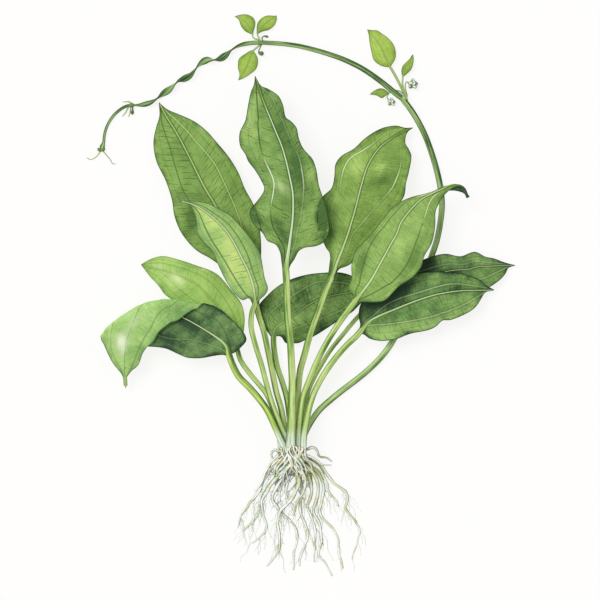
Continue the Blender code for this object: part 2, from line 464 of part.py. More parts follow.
# Roots: path from inside the crown outwards, and half widths at its start and end.
ROOTS = {
    "root_loop_left": (
        ((284, 452, 17), (278, 450.3, 19.5), (275.3, 449, 19.6), (271.8, 453, 16), (272.4, 457.6, 13.6)),
        (1.0, 0.6),
    ),
    "root_left_high": (
        ((284, 452, 14), (277.5, 456, 14), (271, 462, 10.6), (266.5, 470, 7.8), (262, 481, 5),
         (255.5, 491, 2)),
        (1.4, 0.7),
    ),
    "root_left_outer": (
        ((286, 456, 5), (279, 461.5, 5.4), (270.5, 470, 3), (263.5, 482, 1.7), (257.5, 494, 1.5),
         (248, 505.5, 1.3), (240.5, 516, 1.0), (238, 528, 0.7)),
        (1.6, 0.5),
    ),
    "root_left_mid": (
        ((288, 460, 8), (281, 466, 8), (271, 480, 4), (262.5, 492, 1.9), (259, 503, 1.7),
         (258.5, 513, 1.5), (250, 524, 1.2), (240.8, 531.6, 0.8)),
        (1.7, 0.6),
    ),
    "root_left_inner": (
        ((290, 462, 13), (283.5, 469, 11), (276, 479, 8.5), (267.5, 490, 6.5), (262, 500, 5.4),
         (263, 513, 3.4), (266.6, 527, 1.6), (261, 536.5, 1.1), (252, 542.6, 0.8)),
        (1.7, 0.6),
    ),
    "root_mid_left": (
        ((291, 464, 6), (286, 473, 5.8), (277, 486, 4.6), (272.5, 498, 3), (279, 509.5, 1.7),
         (289.6, 520, 1.5), (296, 530, 1.4), (296.4, 544, 1.3), (294.3, 555, 1.0), (293.6, 570, 0.8)),
        (1.7, 0.6),
    ),
    "root_short_left": (
        ((290, 466, 2), (287, 475, 1.9), (282, 484, 1.6), (279.4, 493, 1.4), (279.8, 502, 1.0)),
        (1.6, 0.8),
    ),
    "root_short_mid": (
        ((292, 464, 10), (290.5, 473, 8.6), (287.6, 483, 5), (285.8, 493, 2), (286.4, 499, 1.2)),
        (1.8, 0.9),
    ),
    "root_sweep": (
        ((294, 464, 13), (296.5, 472, 12), (299, 482, 10), (295.5, 493, 8.4), (287, 504, 7),
         (280, 511.5, 5.6), (277.8, 524, 3), (280, 541, 1.7), (279.8, 549, 1.5), (273.5, 558, 1.2),
         (266.6, 565.8, 0.8)),
        (1.9, 0.7),
    ),
    "root_bend": (
        ((296, 464, 16), (302, 471, 15), (305.6, 481, 11.5), (303.6, 491, 8.6), (299, 499, 7),
         (295.5, 508, 5), (292.6, 515, 3.6)),
        (1.5, 0.8),
    ),
    "root_mid": (
        ((295, 464, 5), (299, 473, 4.6), (301.5, 487, 2.2), (300.4, 501, 1.8), (301, 514.6, 1.6),
         (306, 525.4, 1.4), (308, 537.5, 1.3), (301, 553.6, 1.1), (299.7, 566, 0.8)),
        (1.7, 0.6),
    ),
    "root_mid_right": (
        ((298, 462, 9), (305.5, 471, 8), (311, 484, 4), (311, 497, 1.9), (307.5, 508, 1.7),
         (312.3, 518.6, 1.5), (315.2, 532, 1.4), (314.5, 552, 1.1), (315, 562, 0.8)),
        (1.7, 0.6),
    ),
    "root_long": (
        ((299, 461, 13), (308, 467, 12), (316, 478, 8), (318, 494, 3), (313.6, 510, 1.9),
         (319.3, 523, 1.7), (321, 541, 1.5), (319.4, 555, 1.2), (326, 564, 1.0), (332, 576, 0.8)),
        (1.8, 0.6),
    ),
    "root_right_inner": (
        ((300, 459, 6), (309.5, 465, 5.8), (320.6, 477, 2.6), (323.6, 489, 1.7), (321.5, 502, 1.6),
         (320, 511, 1.5), (326, 522, 1.4), (333.5, 530, 1.4), (338.3, 540, 1.2), (339.4, 553, 1.0),
         (343.4, 568.5, 0.7)),
        (1.8, 0.5),
    ),
    "root_right_mid": (
        ((300, 457, 11), (310, 461, 11), (319.5, 469.5, 8.5), (326, 481, 5.4), (329, 492, 3),
         (336.5, 501, 1.4), (338.4, 506, 1.0)),
        (1.5, 0.8),
    ),
    "root_right_outer": (
        ((299, 455, 4), (311, 458.5, 4.6), (320.5, 465, 3.6), (327.6, 475.4, 2), (333.5, 483, 1.6),
         (340, 486.6, 1.5), (346, 492, 1.4), (347.4, 500, 1.3), (345.4, 509.5, 1.2), (353, 517.6, 1.1),
         (359.3, 529.6, 1.0), (357.6, 541.5, 0.9), (351.5, 559, 0.6)),
        (1.6, 0.4),
    ),
    "root_right_high": (
        ((299, 453, 16), (308.5, 455, 16), (316, 459.5, 12.6), (323, 464.6, 8), (331, 465.2, 3)),
        (1.2, 0.6),
    ),
    "root_loop_right": (
        ((300, 451, 12), (309, 448.5, 14.6), (312.5, 447.6, 15), (316.8, 450.6, 13), (319.6, 456, 9),
         (326.8, 457.6, 4), (332, 461.2, 1.0)),
        (1.1, 0.5),
    ),
}
ROOT_PALE = (0.62, 0.62, 0.50)


def clear_scene():
    for thing in list(bpy.data.objects):
        bpy.data.objects.remove(thing)


def material(name, colour, roughness):
    made = bpy.data.materials.new(name)
    made.use_nodes = True
    shader = made.node_tree.nodes["Principled BSDF"]
    shader.inputs["Base Color"].default_value = (*colour, 1.0)
    shader.inputs["Roughness"].default_value = roughness
    shader.inputs["Metallic"].default_value = 0.0
    return made


def smooth_path(points, steps=10):
    """The points joined by a smooth curve through all of them, as a dense polyline."""
    points = np.array(points, float)
    if len(points) < 3:
        return points
    spans = np.linalg.norm(np.diff(points[:, :2], axis=0), axis=1)
    when = np.concatenate([[0.0], np.cumsum(np.sqrt(np.maximum(spans, 1e-6)))])
    slopes = np.empty_like(points)
    slopes[0] = (points[1] - points[0]) / (when[1] - when[0])
    slopes[-1] = (points[-1] - points[-2]) / (when[-1] - when[-2])
    for i in range(1, len(points) - 1):
        before = (points[i] - points[i - 1]) / (when[i] - when[i - 1])
        after = (points[i + 1] - points[i]) / (when[i + 1] - when[i])
        share = (when[i] - when[i - 1]) / (when[i + 1] - when[i - 1])
        slopes[i] = before * (1.0 - share) + after * share
    out = [points[0]]
    for i in range(len(points) - 1):
        length = when[i + 1] - when[i]
        for step in range(1, steps + 1):
            t = step / steps
            out.append(
                points[i] * (2 * t ** 3 - 3 * t ** 2 + 1)
                + slopes[i] * length * (t ** 3 - 2 * t ** 2 + t)
                + points[i + 1] * (3 * t ** 2 - 2 * t ** 3)
                + slopes[i + 1] * length * (t ** 3 - t ** 2)
            )
    return np.array(out)


def fractions_of(path):
    lengths = np.concatenate([[0.0], np.cumsum(np.linalg.norm(np.diff(path, axis=0), axis=1))])
    return lengths / lengths[-1], lengths[-1]


def along(path, at):
    """Points of a dense polyline at the given fractions of its length."""
    where, _ = fractions_of(path)
    return np.stack([np.interp(at, where, path[:, axis]) for axis in range(path.shape[1])], axis=-1)


def bends(path, sag):
    """The fractions of a dense polyline at which a coarser one has to turn to stay within the sag."""
    where, _ = fractions_of(path)
    kept = {0, len(path) - 1}
    spans = [(0, len(path) - 1)]
    while spans:
        first, last = spans.pop()
        if last - first < 2:
            continue
        chord = path[last] - path[first]
        chord = chord / np.linalg.norm(chord)
        away = path[first + 1:last] - path[first]
        off = np.linalg.norm(away - (away @ chord)[:, None] * chord, axis=1)
        worst = int(np.argmax(off))
        if off[worst] < sag:
            continue
        middle = first + 1 + worst
        kept.add(middle)
        spans += [(first, middle), (middle, last)]
    return where[sorted(kept)]


def profile(values, at):
    """Evenly spaced values joined smoothly, read at fractions between 0 and 1."""
    knots = np.stack([np.linspace(0.0, 1.0, len(values)), np.array(values, float)], axis=1)
    curve = smooth_path(knots)
    return np.interp(at, curve[:, 0], curve[:, 1])


def crease_frame(crease):
    """The crease's starting point and the directions along it and across it."""
    start = np.array(crease["start"], float)
    run = np.array(crease["end"], float) - start
    run /= np.linalg.norm(run)
    out = np.array([run[1], -run[0]])
    return start, run, -out if out[1] > 0 else out


def crease_distances(points, crease):
    """Distances along the crease, across it, the roll's radius there and the line where it begins."""
    start, run, out = crease_frame(crease)
    flat = points[..., :2] - start
    s = flat @ run
    p = flat @ out
    bulge = np.array(crease["bulge"], float)
    radius = np.array(crease["radius"], float)
    r = np.interp(s, radius[:, 0], radius[:, 1])
    return s, p, r, np.interp(s, bulge[:, 0], bulge[:, 1]) - r


def roll_angle(points, crease):
    _, p, r, line = crease_distances(points, crease)
    return np.clip((p - line) / r, 0.0, crease["turn"])


def fold_over(points, crease):
    """Rolls what lies beyond the crease over (or under) the rest, about the crease's curved line."""
    start, run, out = crease_frame(crease)
    s, p, r, line = crease_distances(points, crease)
    turn = crease["turn"]
    beyond = np.maximum(p - line, 0.0)
    angle = np.minimum(beyond / r, turn)
    rest = np.maximum(beyond - turn * r, 0.0)
    p = np.minimum(p, line) + r * np.sin(angle) + rest * math.cos(turn)
    lift = crease["sense"] * (r * (1.0 - np.cos(angle)) + rest * math.sin(turn))
    flat = start + s[..., None] * run + p[..., None] * out
    return np.concatenate([flat, (points[..., 2] + lift)[..., None]], axis=-1)


def blade_rails(leaf):
    """Left margin, rib and right margin, all from the petiole's top to the tip."""
    petiole = np.array(leaf["petiole"], float)
    heading = petiole[-1, :2] - petiole[-2, :2]
    heading /= np.linalg.norm(heading)
    side = np.array([heading[1], -heading[0]])
    foot = petiole[-1, :2]
    tip = [leaf["tip"]]
    half = leaf["top"][0]
    left = smooth_path([foot + side * half, *leaf["left"], *tip])
    rib = smooth_path([foot, *leaf["rib"], *tip])
    right = smooth_path([foot - side * half, *leaf["right"], *tip])
    return left, rib, right


def blade_point(leaf, rails, across, at):
    """Points of the blade's middle surface: across from -1 (left) to 1 (right), at 0 to 1."""
    left, rib, right = (along(rail, at) for rail in rails)
    margin = np.where((across < 0)[..., None], left, right)
    share = np.abs(across)[..., None]
    flat = rib * (1.0 - share) + margin * share
    drop = np.where(across < 0, profile(leaf["left_drop"], at), profile(leaf["right_drop"], at))
    height = profile(leaf["heights"], at) + drop * np.abs(across) ** DROP_POWER
    points = np.concatenate([flat, height[..., None]], axis=-1)
    if leaf.get("crease"):
        points = fold_over(points, leaf["crease"])
    return points


def across_points(leaf, rails, t):
    """Where a blade's cross-section has its points: closer together where the blade rolls over."""
    crease = leaf.get("crease")
    if crease is None:
        return np.array(FLAT_BLADE_SECTION)
    fine = np.linspace(-1.0, 1.0, 161)
    flat = blade_point({**leaf, "crease": None}, rails, fine, np.full(161, t))
    angle = roll_angle(flat, crease)
    weight = (fine + 1.0) / 2.0 + crease["share"] * np.cumsum(np.abs(np.gradient(angle))) / crease["turn"]
    return np.interp(np.linspace(0.0, weight[-1], crease["points"]), weight, fine)


def blade_rings(leaf, count, web):
    rails = blade_rails(leaf)
    at = np.linspace(BLADE_START, BLADE_END, count)
    depth = leaf["top"][1]
    rings = []
    for t in at:
        across = across_points(leaf, rails, t)
        here = np.full(len(across), t)
        middle = blade_point(leaf, rails, across, here)
        step_u = 0.02
        step_t = 0.004
        inner = np.clip(across, -1.0 + step_u, 1.0 - step_u)
        du = (blade_point(leaf, rails, inner + step_u, here)
              - blade_point(leaf, rails, inner - step_u, here))
        dt = (blade_point(leaf, rails, inner, here + step_t)
              - blade_point(leaf, rails, inner, here - step_t))
        # The sheet's y runs down, so this product points out of the blade's upper side.
        normal = np.cross(dt, du)
        normal /= np.linalg.norm(normal, axis=1)[:, None]
        fade = (1.0 - t) ** 0.5
        rib = RIB_HALF_THICKNESS * (web / WEB_HALF_THICKNESS) * fade + TIP_HALF_THICKNESS * (1 - fade)
        rib += (depth - rib) * math.exp(-t / RIB_FADE)
        thin = web * fade + TIP_HALF_THICKNESS * (1 - fade)
        thin += (FOOT_WEB_SHARE * depth - thin) * math.exp(-t / WEB_FADE)
        half = np.interp(np.abs(across), (0.0, 0.5, 1.0), (rib, thin, 0.0))
        upper = middle + normal * half[:, None]
        lower = middle - normal * half[:, None]
        rings.append([*upper, *lower[-2:0:-1]])
    return rings


def tube_rings(path, halves, sides, turns=None, start=None):
    """Rings round a path; halves gives (half width, half depth) at each of the rings."""
    path = np.array(path, float)
    steps = np.diff(path, axis=0)
    steps /= np.linalg.norm(steps, axis=1)[:, None]
    tangents = np.concatenate([steps[:1], steps[:-1] + steps[1:], steps[-1:]])
    if start is not None:
        tangents[0] = start
    rings = []
    for i, (centre, tangent) in enumerate(zip(path, tangents)):
        tangent = tangent / np.linalg.norm(tangent)
        side = np.array([tangent[1], -tangent[0], 0.0])
        side /= np.linalg.norm(side)
        up = np.cross(side, tangent)
        up = up if up[2] > 0 else -up
        turn = 0.0 if turns is None else turns[i]
        wide, deep = halves[i]
        ring = []
        for k in range(sides):
            angle = 2.0 * math.pi * k / sides
            a = wide * math.cos(angle)
            b = deep * math.sin(angle)
            ring.append(centre + side * (a * math.cos(turn) - b * math.sin(turn))
                        + up * (a * math.sin(turn) + b * math.cos(turn)))
        rings.append(ring)
    return rings


def loft(name, rings, colour, roughness=0.5):
    """One closed body from rings of points in sheet millimetres, capped at both ends."""
    mesh = bmesh.new()
    rows = []
    for ring in rings:
        row = []
        for x, y, z in ring:
            row.append(mesh.verts.new(((x - CROWN_X) * MM, (CROWN_Y - y) * MM, z * MM)))
        rows.append(row)
    count = len(rows[0])
    for a, b in zip(rows, rows[1:]):
        for k in range(count):
            n = (k + 1) % count
            mesh.faces.new((a[k], a[n], b[n], b[k]))
    mesh.faces.new(rows[0])
    mesh.faces.new(rows[-1])
    bmesh.ops.triangulate(mesh, faces=mesh.faces[:])
    bmesh.ops.recalc_face_normals(mesh, faces=mesh.faces[:])
    data = bpy.data.meshes.new(name)
    mesh.to_mesh(data)
    mesh.free()
    data.polygons.foreach_set("use_smooth", [True] * len(data.polygons))
    thing = bpy.data.objects.new(name, data)
    bpy.context.scene.collection.objects.link(thing)
    data.materials.append(material(name, colour, roughness))
    return thing


def make_leaf(name, leaf):
    """Petiole and blade in one loft; the petiole's sections are made to match the blade's."""
    on_whorl = name.startswith("whorl")
    path = smooth_path(leaf["petiole"])
    share = bends(path, WHORL_SAG if on_whorl else PETIOLE_SAG)
    foot = np.array(leaf["foot"])
    top = np.array(leaf["top"])
    halves = [foot + (top - foot) * min(1.0, t / PETIOLE_TAPER) for t in share]
    web = WHORL_WEB_HALF_THICKNESS if on_whorl else WEB_HALF_THICKNESS
    blades = blade_rings(leaf, leaf["rings"], web)
    start = None if on_whorl else CROWN_FACE
    loft(name, tube_rings(along(path, share), halves, len(blades[0]), start=start) + blades, leaf["colour"])


def make_crown():
    rings = []
    for y, wide, high in CROWN_STATIONS:
        ring = []
        for k in range(CROWN_SIDES):
            angle = 2.0 * math.pi * (k + 0.5) / CROWN_SIDES
            z = high * CROWN_SINK + high * math.sin(angle)
            ring.append((CROWN_X + wide * math.cos(angle), y, max(z, 0.0)))
        rings.append(ring)
    loft("crown", rings, (0.60, 0.55, 0.36), 0.7)


def crown_reach(point):
    """Roughly how far a point is outside the crown; negative inside it."""
    x, y, z = point
    stations = np.array(CROWN_STATIONS)
    wide = np.interp(y, stations[:, 0], stations[:, 1])
    high = np.interp(y, stations[:, 0], stations[:, 2])
    size = math.hypot((x - CROWN_X) / wide, (z - high * CROWN_SINK) / high)
    return max((size - 1.0) * min(wide, high), y - stations[-1, 0])


def make_root(name, points, ends):
    """A tapering root whose first section is a hair's breadth outside the crown's surface."""
    path = along(smooth_path(points), np.linspace(0.0, 1.0, 400))
    for first in range(len(path) // 2):
        ring = tube_rings(path[first:first + 2], [(ends[0], ends[0])] * 2, ROOT_SIDES)[0]
        if min(crown_reach(corner) for corner in ring) > ROOT_CLEARANCE:
            break
    path = path[first:]
    share = bends(path, ROOT_SAG)
    widths = ends[0] + (ends[1] - ends[0]) * share
    rings = tube_rings(along(path, share), [(w, w) for w in widths], ROOT_SIDES)
    loft(name, rings, ROOT_PALE, 0.6)


def make_round_stalk(name, points, ends, start=None):
    path = smooth_path(points)
    share = bends(path, STALK_SAG)
    widths = ends[0] + (ends[1] - ends[0]) * share
    rings = tube_rings(along(path, share), [(w, w) for w in widths], STALK_SIDES, start=start)
    loft(name, rings, STALK_GREEN)


def share_between(value, start, end):
    """0 at the start, 1 at the end, and held at these beyond them."""
    return min(1.0, max(0.0, (value - start) / (end - start)))


def make_twisted_stalk():
    """A strip that shows its edge wherever the photographed stalk is narrowest."""
    path = along(smooth_path(STALK_TWIST), np.linspace(0.0, 1.0, TWIST_RINGS))
    quarter = math.pi / 2
    edge_angles = [quarter + math.pi * k for k in range(len(TWIST_EDGE_X) - 1)]
    edge_angles.append(edge_angles[-1] + quarter)
    turns = np.interp(path[:, 0], TWIST_EDGE_X, edge_angles)
    halves = []
    for x in path[:, 0]:
        flat = share_between(x, *TWIST_ROUND_X)
        end = share_between(x, *TWIST_TAPER_X)
        wide = TWIST_ROUND_HALF + (TWIST_WIDE - TWIST_ROUND_HALF) * flat
        wide += (TWIST_END_HALF - wide) * end
        deep = TWIST_ROUND_HALF + (TWIST_NARROW - TWIST_ROUND_HALF) * flat
        halves.append((wide, deep))
    loft("stalk_twist", tube_rings(path, halves, STALK_SIDES, turns=turns), STALK_GREEN)


def make_stalk_end():
    path = smooth_path(STALK_END)
    share = np.linspace(0.0, 1.0, STALK_END_RINGS)
    where, _ = fractions_of(smooth_path(STALK_END, 1))
    widths = np.interp(share, where, STALK_END_HALF)
    rings = tube_rings(along(path, share), [(w, w) for w in widths], STALK_SIDES)
    loft("stalk_end", rings, (0.30, 0.48, 0.20))


def make_small_piece(name, points, widths, colour):
    path = np.array(points, float)
    rings = tube_rings(path, [(w, w) for w in widths], STALK_SIDES)
    loft(name, rings, colour, 0.5)


clear_scene()
make_crown()
for leaf_name, leaf_data in LEAVES.items():
    make_leaf(leaf_name, leaf_data)
make_round_stalk("stalk_lower", STALK_LOWER, STALK_LOWER_HALF, CROWN_FACE)
make_round_stalk("stalk_arch", STALK_ARCH, STALK_ARCH_HALF)
make_twisted_stalk()
make_stalk_end()
for piece_name, (piece_path, piece_widths, piece_colour) in SMALL_PIECES.items():
    make_small_piece(piece_name, piece_path, piece_widths, piece_colour)
for root_name, (root_path, root_ends) in ROOTS.items():
    make_root(root_name, root_path, root_ends)
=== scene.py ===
"""The looks of an uprooted rosette water plant: veined leaves, stalk with its whorls, crown, roots.

Laid out as an add-on and run as a script. Outlines are read on a plan sheet in millimetres, x to the
right and y down, seen from above; in the scene they are metres, with +Y towards the leaf tips.
"""
import math
import random
from contextlib import contextmanager

import bpy
import numpy as np
from mathutils import Matrix, Vector


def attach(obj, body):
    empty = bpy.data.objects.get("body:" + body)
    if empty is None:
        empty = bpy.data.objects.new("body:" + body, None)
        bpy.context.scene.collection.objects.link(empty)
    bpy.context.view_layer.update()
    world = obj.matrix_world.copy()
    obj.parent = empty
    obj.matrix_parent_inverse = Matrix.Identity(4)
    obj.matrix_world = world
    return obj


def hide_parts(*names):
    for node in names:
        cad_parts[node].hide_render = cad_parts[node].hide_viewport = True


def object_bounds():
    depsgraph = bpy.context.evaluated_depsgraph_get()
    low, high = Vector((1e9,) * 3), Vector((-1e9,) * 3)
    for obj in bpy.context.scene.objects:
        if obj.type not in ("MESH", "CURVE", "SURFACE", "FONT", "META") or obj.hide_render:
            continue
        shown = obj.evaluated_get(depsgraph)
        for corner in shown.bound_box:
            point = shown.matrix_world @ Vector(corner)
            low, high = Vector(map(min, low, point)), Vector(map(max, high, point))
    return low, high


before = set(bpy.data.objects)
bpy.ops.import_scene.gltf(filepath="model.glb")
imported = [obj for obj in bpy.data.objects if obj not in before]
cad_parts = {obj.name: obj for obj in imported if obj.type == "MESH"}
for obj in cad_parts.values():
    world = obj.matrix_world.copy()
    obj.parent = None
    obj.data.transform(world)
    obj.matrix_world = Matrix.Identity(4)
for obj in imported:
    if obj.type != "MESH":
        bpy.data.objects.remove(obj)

bl_info = {
    "name": "Rosette Water Plant",
    "version": (1, 0, 0),
    "blender": (4, 5, 0),
    "location": "View3D > Sidebar > Plant",
    "description": "Models and paints the leaves, stalk, crown and roots round the packed solids",
    "category": "Add Mesh",
}

CAD_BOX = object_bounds()

# The plan sheet: the crown's middle stands at the scene's origin.
MM = 0.001
CROWN_X = 292.0
CROWN_Y = 458.0
SHEET_CENTRE = (300.0, 300.0)
SHEET_SIDE = 600.0

# Every piece stays this far above the floor, and what would pass the frame's box is drawn in over EASE.
FLOOR_GAP = 0.00002
EASE = 0.015
WELD_GAP = 1e-6

# Blades. Inner and outer side veins keep their own columns, at these shares of the half blade, and
# STRIP_COLUMNS is how many columns stand between margin, veins and midrib.
VEIN_AT = 0.4
OUTER_AT = 0.7
STRIPS = (-1.0, -OUTER_AT, -VEIN_AT, 0.0, VEIN_AT, OUTER_AT, 1.0)
STRIP_COLUMNS = (8, 9, 11, 11, 9, 8)
# How far from midrib to margin an inner vein runs where none is drawn, over how many rows a drawn one
# eases off to that, between which shares it counts, and how far beyond it the outer vein runs.
INNER_VEIN = 0.4
VEIN_EASE = 25
VEIN_RANGE = (0.08, 0.9)
OUTER_SHARE = 0.52
DROP_POWER = 1.6
LEAF_ROW = 1.15
WHORL_ROW = 0.8
FOLD_THIN = 0.1
CROSS_SPACING = 6.6
CROSS_SLANT = 0.42
HATCH_SPACING = 3.2

# Stems. The heel is how a petiole's foot dives into the crown: how far on and down, as shares of the sink.
STEM_SIDES = 20
BASE_SINK = 5.0
WHORL_SINK = 2.0
HEEL = ((1.7, 1.4), (1.25, 0.6), (0.7, 0.1))

# The crown's rows: sheet y, half width and half height.
CROWN_RINGS = ((446.5, 8.0, 8.0), (449.0, 11.5, 10.4), (453.0, 14.2, 12.4), (458.0, 14.3, 12.5),
               (464.0, 12.2, 10.8), (469.0, 8.8, 8.2), (472.5, 4.2, 4.2))
CROWN_SINK = 0.93
STRAND_LENGTHS = (24.0, 32.0, 40.0, 54.0)
STRAND_STEP = 2.0
# The sheet's y above which no rootlet starts, and how many steps it takes.
ROOTLET_TOP = 486.0
ROOTLET_STEPS = 12

# Dark, middle and light tones. Where there are two, the third is a setting.
PETIOLE_TONES = ((0.09, 0.19, 0.04), (0.62, 0.74, 0.30))
BASE_TONES = ((0.21, 0.31, 0.18), (0.57, 0.70, 0.52), (0.80, 0.88, 0.78))
TAIL_GREEN = (0.31, 0.51, 0.16)
# GLEAM: the colour of painted highlights on the blades.
GLEAM = (0.56, 0.69, 0.31)
STALK_TONES = ((0.045, 0.11, 0.035), (0.46, 0.64, 0.26))
STRIP_TONES = ((0.016, 0.045, 0.016), (0.29, 0.45, 0.15))
LIME_TONES = ((0.08, 0.17, 0.04), (0.54, 0.67, 0.30))
KNOT_TONES = ((0.03, 0.06, 0.03), (0.09, 0.16, 0.05), (0.28, 0.38, 0.15))
BUD_TONES = ((0.05, 0.10, 0.05), (0.38, 0.50, 0.27))
ROOT_TONES = ((0.15, 0.175, 0.135), (0.56, 0.60, 0.49))
LOOP_TONES = ((0.10, 0.12, 0.09), (0.36, 0.40, 0.31), (0.74, 0.78, 0.68))
CROWN_TONES = ((0.12, 0.145, 0.11), (0.66, 0.63, 0.45))

# Darker stretches and painted highlights along the stalk, and painted highlights on its twisted strip:
# sheet x, y, radius, how much lighter.
STALK_SPOTS = ((405, 100, 110, -0.34), (434, 165, 55, -0.42), (443, 222, 35, 0.1), (345, 58, 80, -0.4),
               (366, 71, 32, -0.15), (386, 350, 36, 0.3), (312, 424, 42, 0.35), (265, 43, 40, -0.2),
               (124, 107, 26, -0.55), (104, 134, 28, -0.35), (436, 246, 26, 0.4), (412, 110, 18, -0.2))
STRIP_HIGHLIGHTS = ((143, 103, 22, 0.3), (190, 72, 16, 0.12), (216, 60, 14, 0.1), (255, 45, 18, 0.1))

# Swellings at the whorls: sheet x, y, height, radius and turn in degrees.
KNOTS = ((403.2, 99.0, 5.0, 3.1, 35), (259.6, 42.6, 4.2, 2.4, 90), (131.6, 105.4, 2.6, 2.4, 95),
         (99.8, 149.8, 2.1, 2.0, 60), (103.2, 149.0, 2.3, 2.1, -10))
# Where a bud stem ends, the middle of its cluster, how far out its buds stand, their radius and number.
CLUSTERS = {
    "whorl1_buds_right": (0.62, (412.8, 84.2, 4.6), 2.7, 2.5, 6),
    "whorl1_buds_left": (0.42, (391.3, 102.2, 3.9), 2.1, 2.0, 6),
}

